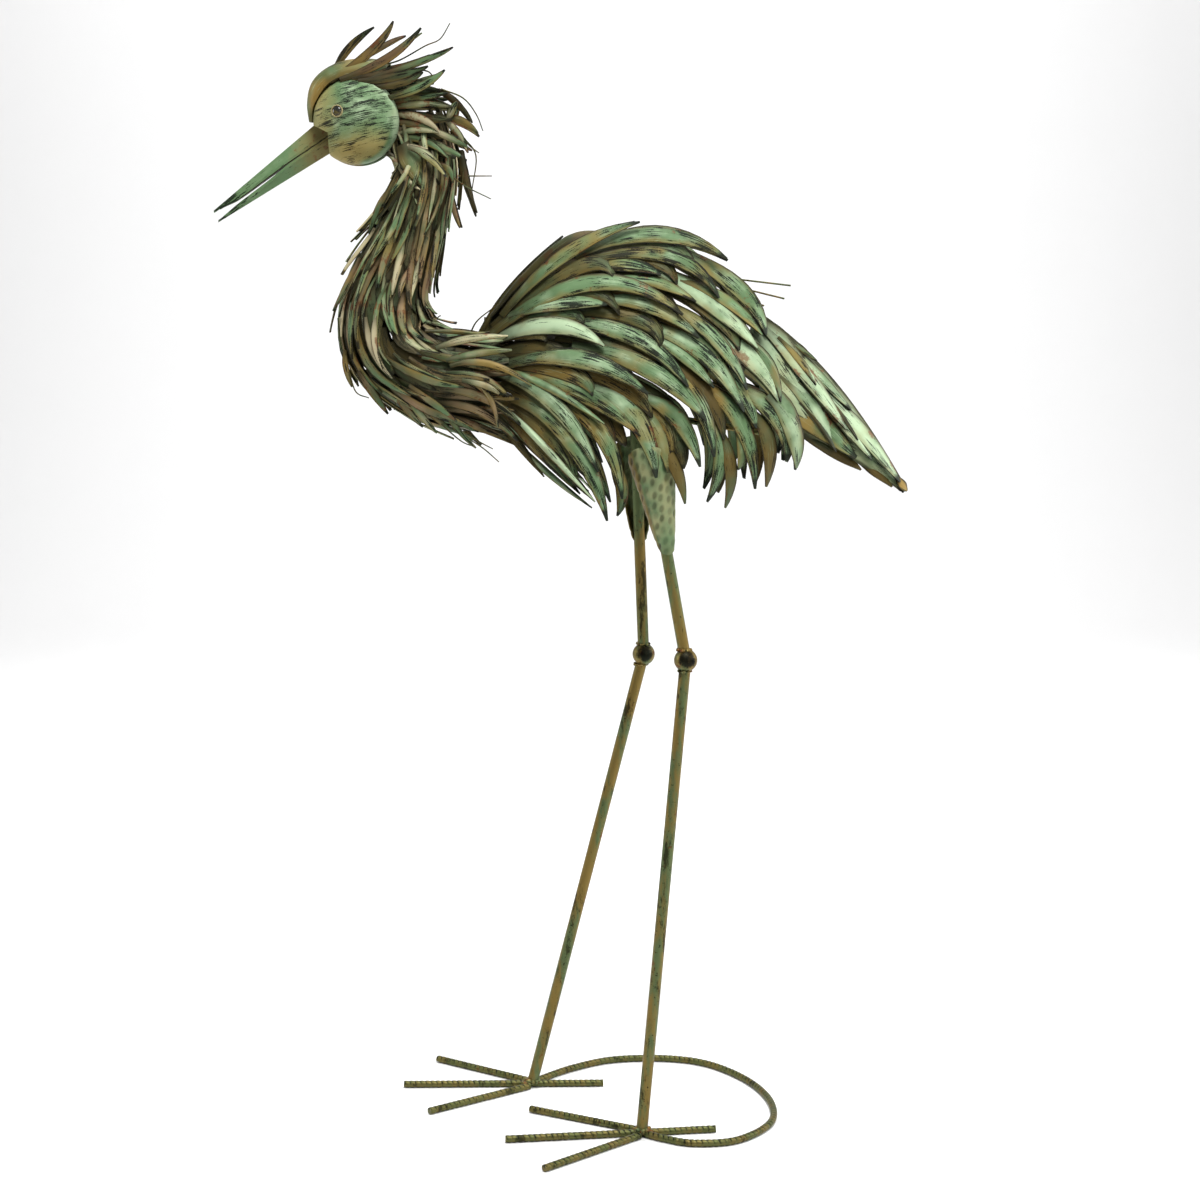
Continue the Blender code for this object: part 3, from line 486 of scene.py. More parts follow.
def station(table, x):
    """Row of values at x, read smoothly from a table whose first column climbs."""
    x = min(max(x, table[0][0]), table[-1][0])
    index = 0
    while index < len(table) - 2 and table[index + 1][0] < x:
        index += 1
    share = (x - table[index][0]) / (table[index + 1][0] - table[index][0])
    rows = [table[max(index - 1, 0)], table[index], table[index + 1],
            table[min(index + 2, len(table) - 1)]]
    return [spline(*values, share) for values in zip(*(row[1:] for row in rows))]


def smooth_route(points, per_span):
    """Points of a smooth curve through the route's own points."""
    stops = [Vector(point) for point in points]
    stops = [2.0 * stops[0] - stops[1], *stops, 2.0 * stops[-1] - stops[-2]]
    route = []
    for index in range(1, len(stops) - 2):
        for step in range(per_span):
            route.append(spline(*stops[index - 1:index + 3], step / per_span))
    route.append(stops[-2])
    return route


def body_half_width(x, z):
    """Half width of the body at a place seen from the side."""
    top, bottom, half, ridge = station(BODY, x)
    drop = min(max((top - z) / (top - bottom), 0.0), BODY_BELOW)
    return ridge + (half - ridge) * math.sin(BODY_ROUNDING * math.pi * drop)


def on_body(x, y, lift):
    """The place on the near side of the body that a spot of the picture shows."""
    depth = FIRST_DEPTH
    for _ in range(DEPTH_ROUNDS):
        place = from_picture(x, y, depth)
        parting = ease((place.x - ROWS_PART_FROM) / (ROWS_PART_TO - ROWS_PART_FROM))
        depth = -(body_half_width(place.x, place.z) + lift * parting)
    return from_picture(x, y, depth)


print("half width over the hip:", round(body_half_width(60.0, 618.0), 1))

# %% [markdown]
# The feathers of the wing were cut one by one, so they are laid one by one: each line
# gives the root, the middle and the tip as spots of the picture, the width, and the tint.
# Each spot is carried to the body, so the feather curves with it. The rows lie over each
# other like tiles: shoulder over middle, middle over lower, lower over trailing. One
# spot of the picture covers 0.87 mm of the bird. The far wing is hidden, so its feathers
# only wobble away from the near ones.

# %% Feathers of the wing
WING = {
    "shoulder": (5.0, (
        ((502, 316), (566, 254), (640, 222), 12, (0.42, 0.35, 0.10)),
        ((482, 342), (590, 283), (683, 315), 15, (0.50, 0.45, 0.00)),
        ((508, 316), (562, 303), (607, 305), 13, (0.70, 0.60, 0.00)),
        ((483, 346), (550, 325), (604, 346), 16, (0.98, 0.15, 0.00)),
        ((490, 340), (500, 337), (508, 336), 6, (0.80, 0.10, 0.00)),
        ((503, 366), (580, 359), (648, 394), 17, (0.55, 0.60, 0.00)),
        ((487, 364), (546, 386), (604, 424), 7, (0.60, 0.05, 0.00)),
        ((491, 372), (553, 403), (598, 472), 15, (0.70, 0.45, 0.00)),
        ((512, 398), (572, 441), (607, 521), 17, (0.50, 0.50, 0.00)),
        ((506, 408), (541, 443), (595, 502), 6, (0.95, 0.15, 0.00)),
        ((540, 440), (566, 470), (594, 501), 7, (0.20, 0.40, 0.60)),
    )),
    "middle": (4.0, (
        ((575, 256), (655, 234), (727, 259), 15, (0.45, 0.50, 0.05)),
        ((580, 262), (668, 256), (719, 298), 13, (0.30, 0.80, 0.25)),
        ((582, 272), (624, 264), (661, 275), 13, (0.10, 0.95, 0.00)),
        ((600, 282), (650, 281), (696, 302), 10, (0.30, 0.30, 0.00)),
        ((585, 302), (646, 304), (699, 338), 14, (0.62, 0.50, 0.00)),
        ((534, 324), (628, 334), (688, 387), 16, (0.55, 0.75, 0.00)),
        ((572, 346), (652, 370), (706, 421), 18, (0.50, 0.45, 0.00)),
        ((505, 372), (580, 390), (641, 436), 19, (0.35, 0.55, 0.05)),
        ((550, 400), (600, 432), (622, 499), 15, (0.40, 0.55, 0.05)),
        ((575, 385), (632, 414), (656, 478), 19, (0.60, 0.45, 0.00)),
    )),
    "lower": (3.0, (
        ((640, 262), (708, 300), (757, 348), 17, (0.95, 0.10, 0.00)),
        ((680, 280), (725, 300), (762, 335), 10, (0.45, 0.10, 0.00)),
        ((655, 300), (712, 335), (747, 390), 13, (0.60, 0.55, 0.00)),
        ((624, 324), (697, 348), (744, 412), 16, (0.65, 0.60, 0.00)),
        ((640, 332), (680, 353), (714, 388), 11, (0.60, 0.35, 0.00)),
        ((630, 352), (690, 392), (714, 457), 16, (0.52, 0.50, 0.00)),
        ((610, 392), (652, 424), (668, 473), 15, (0.55, 0.20, 0.05)),
        ((636, 396), (676, 417), (700, 467), 15, (0.48, 0.30, 0.00)),
        ((655, 440), (674, 464), (685, 504), 11, (0.15, 0.10, 0.60)),
    )),
    "trailing": (2.0, (
        ((660, 244), (735, 285), (766, 335), 15, (0.52, 0.40, 0.00)),
        ((700, 330), (754, 357), (778, 401), 22, (0.92, 0.15, 0.00)),
        ((740, 335), (768, 364), (781, 402), 9, (0.40, 0.40, 0.30)),
        ((690, 350), (735, 385), (756, 428), 15, (0.55, 0.45, 0.00)),
        ((690, 380), (738, 418), (755, 489), 15, (0.42, 0.45, 0.05)),
        ((690, 398), (720, 445), (707, 502), 14, (0.50, 0.50, 0.10)),
        ((725, 385), (776, 414), (786, 460), 18, (0.62, 0.70, 0.00)),
        ((745, 370), (788, 412), (795, 470), 14, (0.50, 0.35, 0.05)),
        ((712, 420), (730, 463), (725, 508), 11, (0.15, 0.05, 0.60)),
        ((666, 360), (706, 390), (724, 440), 14, (0.15, 0.30, 0.75)),
        ((735, 425), (742, 448), (738, 470), 9, (0.40, 0.20, 0.25)),
        ((566, 388), (602, 416), (626, 446), 20, (0.10, 0.30, 0.60)),
        ((748, 410), (768, 440), (766, 487), 13, (0.20, 0.10, 0.60)),
        ((610, 455), (622, 487), (617, 516), 11, (0.30, 0.40, 0.30)),
    )),
    "belly": (2.0, (
        ((485, 405), (512, 436), (544, 477), 7, (0.05, 0.10, 0.85)),
        ((500, 408), (535, 445), (580, 494), 10, (0.25, 0.40, 0.40)),
        ((492, 395), (528, 420), (560, 458), 12, (0.40, 0.40, 0.15)),
        ((495, 420), (540, 466), (592, 508), 5, (0.75, 0.10, 0.10)),
        ((498, 352), (556, 345), (608, 362), 15, (0.10, 0.20, 0.85)),
    )),
}
SPOT_SIZE = 0.87
WING_GRID = (14, 4)
FAR_WING_WOBBLE = 5.0
CUP = 2.4
SHINGLE = 1.6
CURL = 3.5
BROADER = 1.18
UNDER = 3.0
FILLED_ROWS = ("shoulder", "middle", "lower")
BARE_AFTER = (550, 400)


def picture_feather(drawing, line, lift, side, dice, wobble=0.0):
    """One feather of the wing, from spots of the picture to the side of the body."""
    root, via, tip, width, tint = line
    width *= BROADER
    root, via, tip = Vector(root), Vector(via), Vector(tip)
    via += Vector((dice.uniform(-1, 1), dice.uniform(-1, 1))) * wobble * 0.6
    tip += Vector((dice.uniform(-1, 1), dice.uniform(-1, 1))) * wobble
    tint = [min(max(value + dice.uniform(-0.06, 0.06), 0.0), 1.0) for value in tint]
    own = dice.uniform(-0.5, 0.5)

    def place_of(share, across):
        spot = bent_line(root, via, tip, share)
        slope = bent_slope(root, via, tip, share)
        half = width * blade(share) / 2.0
        spot += Vector((-slope.y, slope.x)) * half * across
        height = lift + own + CURL * share ** 2 + CUP * blade(share) * (1.0 - across ** 2)
        height += SHINGLE * across
        place = on_body(spot.x, spot.y, height)
        place.y *= side
        return place

    length = ((via - root).length + (tip - via).length) * SPOT_SIZE
    add_feather(drawing, *WING_GRID, place_of, length, width * SPOT_SIZE, tint)


def between_feathers(first, second, dice):
    """A shorter feather, darker as painted shade, that fills the gap between two others from
    below.
    """
    share = dice.uniform(0.4, 0.6)
    spots = [Vector(one).lerp(Vector(other), share) for one, other in zip(first[:3], second[:3])]
    spots[2] = spots[0].lerp(spots[2], dice.uniform(0.72, 0.86))
    tone = dice.uniform(0.0, 0.4)
    return (*spots, max(first[3], second[3]), (tone, 0.5, dice.uniform(0.35, 0.85)))


for side_name, side in SIDES:
    dice = random.Random(f"wing {side_name}")
    for row, (layer, lines) in WING.items():
        drawing = sheet_drawing()
        for first, second in zip(lines, lines[1:]):
            if row in FILLED_ROWS and first[0] != BARE_AFTER:
                picture_feather(drawing, between_feathers(first, second, dice),
                                layer * ROW_PITCH - UNDER, side, dice)
        for line in lines:
            picture_feather(drawing, line, layer * ROW_PITCH, side, dice,
                            0.0 if side > 0 else FAR_WING_WOBBLE)
        show(f"{side_name}_wing_{row}_feathers", drawing, WING_PATINA,
             [f"{side_name}_wing_{row}_row"], SHEET)

# %% [markdown]
# The tail is a tent of long pointed plates, welded along the ridge. A plate is wider than
# a feather, so it is drawn between two edges: the one along the ridge and the lower one.
# Narrow leaves lie on it, and their tips stand off the ridge.

# %% Tail
TAIL_PLATES = (
    (0.2, (757, 311), (834, 380), (907.0, 489), (770, 425), (848, 458), (903, 493),
     (0.95, 0.30, 0.00)),
    (1.6, (755, 316), (800, 350), (829, 438), (752, 345), (778, 395), (825, 440),
     (0.95, 0.30, 0.00)),
)
# The three darkest leaves, with 0.9 and more as their last tint number, are painted shadow: dark
# strips in the gaps between the others.
TAIL_LEAVES = (
    (0.8, ((775, 405), (812, 420), (856, 458), 22, (0.30, 0.20, 0.00))),
    (1.9, ((762, 326), (804, 372), (846, 429), 13, (0.95, 0.25, 0.00))),
    (0.9, ((780, 337), (815, 372), (851, 410), 8, (0.70, 0.40, 0.05))),
    (1.8, ((764, 326), (788, 353), (816, 392), 6, (0.10, 0.30, 1.00))),
    (0.9, ((896, 476), (902, 485), (907, 491), 6, (0.00, 0.00, 0.00))),
    (2.0, ((778, 337), (797, 358), (816, 385), 5, (0.40, 0.50, 0.10))),
    (0.8, ((784, 336), (801, 349), (817, 361), 4, (0.40, 0.60, 0.50))),
    (1.6, ((822, 392), (840, 412), (858, 440), 5, (0.10, 0.30, 0.90))),
    (1.6, ((800, 402), (820, 424), (836, 452), 5, (0.10, 0.30, 0.90))),
    (1.4, ((815, 385), (858, 428), (900, 482), 13, (0.92, 0.35, 0.00))),
    (1.2, ((780, 375), (812, 405), (832, 445), 15, (0.85, 0.10, 0.00))),
    (1.1, ((800, 380), (842, 420), (872, 460), 12, (0.90, 0.30, 0.00))),
    (2.6, ((768, 395), (792, 428), (796, 468), 16, (0.75, 0.15, 0.00))),
)
# Dark leaves under the long plate: painted shade where they show between the others.
TAIL_UNDER = (
    (-0.6, ((790, 425), (828, 447), (861, 470), 12, (0.05, 0.10, 0.85))),
    (-0.6, ((860, 462), (877, 472), (892, 487), 9, (0.05, 0.10, 0.80))),
)


PLATE_GRID = (24, 12)
PLATE_WIDTH = 50.0
PLATE_CREASE = 1.2
FAR_TAIL_WOBBLE = 3.0


def add_plate(drawing, plate, side):
    """A pointed plate between an upper and a lower edge, slightly creased."""
    lift, *spots, tint = plate
    spots = [Vector(spot) for spot in spots]

    def place_of(share, across):
        upper = bent_line(*spots[:3], share)
        lower = bent_line(*spots[3:], share)
        spot = upper.lerp(lower, (across + 1.0) / 2.0)
        crease = PLATE_CREASE * math.cos(3.0 * math.pi * across) * (1.0 - share)
        place = on_body(spot.x, spot.y, lift * ROW_PITCH + crease)
        place.y *= side
        return place

    length = (spots[2] - spots[0]).length
    add_feather(drawing, *PLATE_GRID, place_of, length, PLATE_WIDTH, tint)


for side_name, side in SIDES:
    dice = random.Random(f"tail {side_name}")
    drawing = sheet_drawing()
    add_plate(drawing, TAIL_PLATES[0], side)
    for height, line in TAIL_UNDER:
        picture_feather(drawing, line, height * ROW_PITCH, side, dice)
    show(f"{side_name}_tail_long_sheet", drawing, WING_PATINA,
         [f"{side_name}_tail_long_plate"], SHEET)
    drawing = sheet_drawing()
    add_plate(drawing, TAIL_PLATES[1], side)
    for height, line in TAIL_LEAVES:
        picture_feather(drawing, line, height * ROW_PITCH, side, dice,
                        0.0 if side > 0 else FAR_TAIL_WOBBLE)
    show(f"{side_name}_tail_leaves", drawing, WING_PATINA,
         [f"{side_name}_tail_short_plate"], SHEET)

# %% [markdown]
# The neck is clad in some four hundred narrow blades, welded at their upper ends so that
# each collar covers the welds of the next. They follow the neck from the head to the
# breast, and a table along its middle line gives its height and its half width.

# %% Shape of the neck
NECK = ((-131, 873, 24, 5), (-124, 851, 25, 11), (-119, 824, 23, 20), (-134, 779, 26, 23),
        (-153, 733, 31, 27), (-156, 703, 36, 32), (-146, 677, 38, 35), (-114, 656, 38, 36),
        (-78, 649, 38, 36))
COLLARS = 11
LAST_COLLAR = 30.0


class NeckLine:
    """The middle line of the neck, measured along its length."""

    def __init__(self):
        self.points = smooth_route([(x, z, tall) for x, z, tall, _ in NECK], 10)
        self.broad = [point.z for point in
                      smooth_route([(x, z, broad) for x, z, _, broad in NECK], 10)]
        self.lengths = [0.0]
        for before, after in zip(self.points, self.points[1:]):
            self.lengths.append(self.lengths[-1] + (after.xy - before.xy).length)
        self.spacing = (self.lengths[-1] - LAST_COLLAR) / (COLLARS - 1)

    def around(self, length, angle, lift):
        """A point on the neck: angle 0 is its back, -90 degrees its near side."""
        index = 0
        while index < len(self.lengths) - 2 and self.lengths[index + 1] < length:
            index += 1
        span = self.lengths[index + 1] - self.lengths[index]
        share = (length - self.lengths[index]) / span
        here, there = self.points[index], self.points[index + 1]
        middle = here.lerp(there, share)
        held = min(max(share, 0.0), 1.0)
        tall = here.z + (there.z - here.z) * held
        broad = self.broad[index] + (self.broad[index + 1] - self.broad[index]) * held
        direction = (there.xy - here.xy).normalized()
        out = Vector((-direction.y, direction.x)) * (tall + lift) * math.cos(angle)
        return Vector((middle.x + out.x, (broad + lift) * math.sin(angle), middle.y + out.y))


neck = NeckLine()
print("length of the neck:", round(neck.lengths[-1]), "mm, a collar every", round(neck.spacing))

# %% [markdown]
# The blades differ in length, width and twist, and stand off a little more at their tips.
# Their tints run from pinkish tan over ochre and olive to green; the lower blades, under the upper
# ones, are darkened as painted shade.

# %% Blades of the neck
LOWER_BLADES = 17
UPPER_BLADES = 20
FLARED = 0.30
BLADE_REACH = (38.0, 74.0)
UPPER_WIDTH = (3.2, 6.0)
LOWER_WIDTH = (10.0, 13.0)
UPPER_FOOT = (0.6, 2.4)
LOWER_FOOT = (-1.8, -0.6)
BLADE_RISE = (1.5, 4.5)
FLARED_RISE = (4.0, 9.0)
BLADE_TWIST = 0.33
BLADE_ROLL = 1.1
BLADE_BOW = 0.07
BLADE_GRID = (9, 2)
MEAN_RADIUS = 29.0
# Tints of the lower blades: painted shade under the upper blades.
UNDER_SHADE_TINTS = ((0.05, 0.30, 0.95), (0.20, 0.40, 0.80), (0.40, 0.30, 0.85), (0.10, 0.10, 1.00))
BLADE_TINTS = ((0.35, 0.15, 0.00), (0.55, 0.10, 0.00), (0.15, 0.20, 0.15), (0.25, 0.40, 0.10),
               (0.85, 0.15, 0.00), (1.00, 0.05, 0.00), (0.10, 0.30, 0.45), (0.60, 0.50, 0.10),
               (0.55, 0.10, 0.00), (0.20, 0.20, 0.00), (0.30, 0.20, 0.15))


def add_blade(drawing, start, angle, dice, upper):
    """One narrow blade of the neck, welded at its upper end."""
    reach = dice.uniform(*BLADE_REACH)
    width = dice.uniform(*(UPPER_WIDTH if upper else LOWER_WIDTH))
    twist = dice.uniform(-BLADE_TWIST, BLADE_TWIST)
    rise = dice.uniform(*BLADE_RISE)
    if upper and dice.random() < FLARED:
        rise += dice.uniform(*FLARED_RISE)
    foot = dice.uniform(*(UPPER_FOOT if upper else LOWER_FOOT))
    roll = dice.uniform(-BLADE_ROLL, BLADE_ROLL)
    bow = dice.uniform(-BLADE_BOW, BLADE_BOW)

    def place_of(share, across):
        half = width * blade(share, 0.55, 0.42, 0.12, 2.2) / 2.0
        lift = foot + rise * share ** 1.6 + roll * across + 0.8 * (1.0 - across ** 2)
        length = start + reach * share
        turned = angle + twist * share + bow * math.sin(math.pi * share)
        return neck.around(length, turned + across * half / MEAN_RADIUS, lift)

    tints = BLADE_TINTS if upper else UNDER_SHADE_TINTS
    tint = [value + dice.uniform(-0.05, 0.05) for value in dice.choice(tints)]
    tint = [max(value, 0.0) for value in tint]
    add_feather(drawing, *BLADE_GRID, place_of, reach, width, tint)


dice = random.Random("neck")
for number in range(COLLARS):
    drawing = sheet_drawing()
    for count in (LOWER_BLADES, UPPER_BLADES):
        for index in range(count):
            start = (number + dice.uniform(-0.35, 0.35)) * neck.spacing
            angle = 2.0 * math.pi * (index + dice.uniform(-0.4, 0.4)) / count
            add_blade(drawing, max(start, 0.0), angle, dice, count == UPPER_BLADES)
    show(f"neck_blades_{number + 1:02d}", drawing, NECK_PATINA,
         [f"neck_collar_{number + 1:02d}"], SHEET)

# %% [markdown]
# The head is two dished shells, each pressed from one disc and notched in front for the
# beak. A quarter of an ellipse spun round the Y axis gives a shell; two cuts and a few
# deleted faces make its notch.

# %% Cheeks
HEAD_CENTRE = (-177.0, 868.0)
CHEEK_RADIUS = 35.5
CHEEK_HEIGHT = 20.0
CHEEK_SPLIT = 8.0
NOTCH_TOP = (-214.0, 865.0)
NOTCH_CORNER = (-199.0, 857.5)
NOTCH_BOTTOM = 836.0
DOME_STEPS = 14
DOME_TURNS = 72
STREAK_RISE = 0.25


def in_notch(place):
    """Is a place in front of the corner that the beak comes out of?"""
    slope = (NOTCH_TOP[1] - NOTCH_CORNER[1]) / (NOTCH_TOP[0] - NOTCH_CORNER[0])
    under_slope = place.z < NOTCH_CORNER[1] + slope * (place.x - NOTCH_CORNER[0])
    return place.x < NOTCH_CORNER[0] and under_slope and place.z > NOTCH_BOTTOM


def write_cheek(dome):
    """Green in the middle under brushed streaks, ochre below and in front, pale along the rim
    behind, partly pale patina and partly a painted highlight where that rim catches the light.
    """
    place, colour = layers(dome)
    sheet = dome.loops.layers.uv["sheet"]
    for vert in dome.verts:
        across, up = vert.co.x - HEAD_CENTRE[0], vert.co.z - HEAD_CENTRE[1]
        out = math.hypot(across, up) / CHEEK_RADIUS
        low = ease((-up + 4.0) / 34.0)
        front = ease((-across - 2.0) / 30.0)
        rim = ease((out - 0.84) / 0.14)
        # The pale rear rim is partly pale patina and partly a painted highlight.
        behind = rim * ease((across + 4.0) / 14.0)
        tone = 0.55 - 0.50 * max(low, front, rim * 0.5) + 0.55 * behind
        streaks = 0.80 * (1.0 - rim) * (1.0 - 0.6 * low) * (1.0 - 0.3 * front)
        vert[place] = Vector((0.0, 0.55, 0.0))
        vert[colour] = Vector((max(tone, 0.0), streaks, 0.0))
    for face in dome.faces:
        for loop in face.loops:
            across, up = loop.vert.co.x, loop.vert.co.z
            loop[sheet].uv = ((up - STREAK_RISE * across) / 10.0, across / 10.0)


def cheek_drawing(side):
    dome = sheet_drawing()
    arc = []
    for step in range(DOME_STEPS + 1):
        angle = math.pi / 2.0 * step / DOME_STEPS
        arc.append(dome.verts.new((CHEEK_RADIUS * math.cos(angle),
                                   CHEEK_HEIGHT * math.sin(angle), 0.0)))
    edges = [dome.edges.new(pair) for pair in zip(arc, arc[1:])]
    bmesh.ops.spin(dome, geom=arc + edges, cent=(0, 0, 0), axis=(0, 1, 0),
                   angle=2.0 * math.pi, steps=DOME_TURNS, use_merge=True)
    bmesh.ops.remove_doubles(dome, verts=dome.verts, dist=0.01)
    for vert in dome.verts:
        vert.co = Vector((HEAD_CENTRE[0] + vert.co.x, -side * (CHEEK_SPLIT + vert.co.y),
                          HEAD_CENTRE[1] + vert.co.z))
    write_cheek(dome)
    corner = Vector((NOTCH_CORNER[0], 0.0, NOTCH_CORNER[1]))
    along = Vector((NOTCH_TOP[0], 0.0, NOTCH_TOP[1])) - corner
    for normal in (Vector((-along.z, 0.0, along.x)), Vector((1.0, 0.0, 0.0))):
        bmesh.ops.bisect_plane(dome, geom=dome.verts[:] + dome.edges[:] + dome.faces[:],
                               plane_co=corner, plane_no=normal)
    cut = [face for face in dome.faces if in_notch(face.calc_center_median())]
    bmesh.ops.delete(dome, geom=cut, context="FACES")
    bmesh.ops.recalc_face_normals(dome, faces=dome.faces)
    return dome


for side_name, side in SIDES:
    show(f"{side_name}_cheek", cheek_drawing(side), CHEEK_PATINA,
         [f"{side_name}_cheek_shell"], SHEET, ROUNDED)

# %% [markdown]
# On the real bird the cap, its fingers and the leaves behind the cheeks are scraps cut
# from sheet and tacked on. Each is a feather once more, but it stands free in the air, so
# it gets a depth at its root and one at its tip in place of the body's own roundness.

# %% Cap, crest and nape feathers
CAP_LENGTH = 90.0
CAP_WIDTH = 60.0
CAP_SHEET = 1.2
CAP_GRID = (40, 16)
LEAF_GRID = (12, 4)
PLATE_LEAF_GRID = (16, 12)
NAPE_CUP = 0.8
BREAST_CUP = 1.2
PLATE_CUP = 4.0
FAR_HEAD_WOBBLE = 3.0
CREST_CAP = ((180, 40.0, 36.8, 6), (163, 43.4, 36.9, 10), (138, 49.2, 36.9, 14),
             (110, 50.4, 37.0, 15), (83, 51.6, 40, 15), (59, 55.5, 44, 14))
NEAR_CREST = (
    ((330, 81), (372, 50), (393, 21), 9.0, -14, -8, (0.05, 0.30, 0.30)),
    ((340, 80), (388, 58), (421, 28), 9.0, -16, -12, (0.15, 0.40, 0.20)),
    ((352, 80), (395, 70), (430, 55), 9.0, -16, -13, (0.20, 0.60, 0.35)),
    ((372, 78), (420, 62), (453, 47), 7.0, -16, -15, (0.35, 0.40, 0.20)),
    ((358, 82), (398, 76), (428, 66), 9.0, -17, -15, (0.25, 0.70, 0.55)),
    ((368, 86), (400, 84), (423, 72), 7.0, -15, -16, (0.10, 0.50, 0.70)),
    ((388, 98), (420, 87), (445, 70), 9.0, -14, -20, (0.40, 0.40, 0.05)),
)
FAR_CREST = (
    ((334, 72), (350, 47), (374, 27), 8.0, 2, 8, (0.20, 0.80, 0.55)),
    ((356, 64), (384, 46), (406, 36), 6.0, 3, 10, (0.05, 0.30, 0.30)),
    ((372, 66), (402, 46), (422, 33), 3.5, 4, 11, (0.40, 0.10, 0.10)),
    ((384, 68), (408, 65), (432, 55), 6.0, 5, 12, (0.20, 0.60, 0.60)),
    ((390, 87), (404, 82), (418, 77), 4.0, 8, 12, (0.10, 0.50, 0.70)),
    ((386, 96), (416, 84), (440, 74), 8.0, 12, 18, (0.20, 0.50, 0.50)),
)
# Dark leaves under the others: painted shade in the gaps of the nape.
NAPE_UNDER = (
    ((384, 92), (412, 92), (440, 90), 13.0, 2, -15, (0.20, 0.60, 0.60)),
    ((388, 104), (420, 102), (453, 108), 13.0, 2, -17, (0.25, 0.60, 0.55)),
    ((390, 116), (420, 118), (452, 120), 13.0, 2, -18, (0.10, 0.50, 0.70)),
    ((390, 128), (420, 132), (458, 138), 13.0, 2, -19, (0.15, 0.40, 0.70)),
    ((388, 140), (418, 146), (456, 158), 13.0, 2, -21, (0.10, 0.30, 0.60)),
    ((384, 150), (408, 162), (440, 184), 13.0, 2, -22, (0.30, 0.30, 0.50)),
)
NAPE_LEAVES = (
    ((384, 93), (408, 86), (434, 83), 10.0, -3, -18, (0.45, 0.90, 0.10)),
    ((388, 101), (414, 99), (448, 93), 8.0, -3, -18, (0.35, 0.55, 0.20)),
    ((390, 109), (420, 104), (453, 107), 7.5, -4, -20, (0.60, 0.20, 0.00)),
    ((392, 122), (418, 125), (434, 131), 8.0, -4, -19, (0.05, 0.10, 0.10)),
    ((392, 115), (420, 118), (440, 133), 8.5, -5, -22, (0.90, 0.05, 0.00)),
    ((398, 134), (418, 130), (438, 133), 6.5, -6, -21, (0.75, 0.10, 0.10)),
    ((392, 139), (422, 140), (448, 158), 7.5, -4, -23, (0.30, 0.15, 0.05)),
    ((404, 145), (414, 147), (428, 149), 5.0, -20, -22, (0.95, 0.00, 0.00)),
    ((420, 138), (443, 148), (462, 157), 9.0, -14, -20, (0.45, 0.30, 0.15)),
    ((428, 128), (448, 137), (468, 147), 7.0, -15, -20, (0.70, 0.10, 0.05)),
    ((442, 116), (456, 131), (466, 147), 7.0, -12, -17, (0.80, 0.05, 0.00)),
    ((448, 119), (452, 110), (457, 102), 8.0, -16, -18, (0.65, 0.00, 0.00)),
    ((446, 118), (462, 121), (478, 133), 8.0, -13, -18, (0.00, 0.20, 0.20)),
    ((438, 90), (457, 103), (470, 122), 6.5, -6, -14, (0.05, 0.60, 0.80)),
    ((408, 147), (429, 157), (446, 177), 8.5, -25, -29, (0.75, 0.40, 0.00)),
    ((440, 165), (449, 170), (453, 183), 6.0, -20, -24, (0.30, 0.20, 0.20)),
    ((461, 150), (466, 182), (477, 213), 7.0, -6, -12, (0.05, 0.50, 0.85)),
    ((386, 153), (401, 170), (417, 204), 4.0, -6, -24, (0.75, 0.05, 0.00)),
    ((401, 168), (410, 182), (421, 190), 4.0, -18, -24, (0.85, 0.00, 0.00)),
    ((384, 151), (396, 161), (401, 178), 4.5, -8, -12, (0.10, 0.30, 0.75)),
)
NAPE_PLATE = ((402, 144), (413, 164), (424, 186), 23.0, -18, -20, (0.30, 0.05, 0.10))
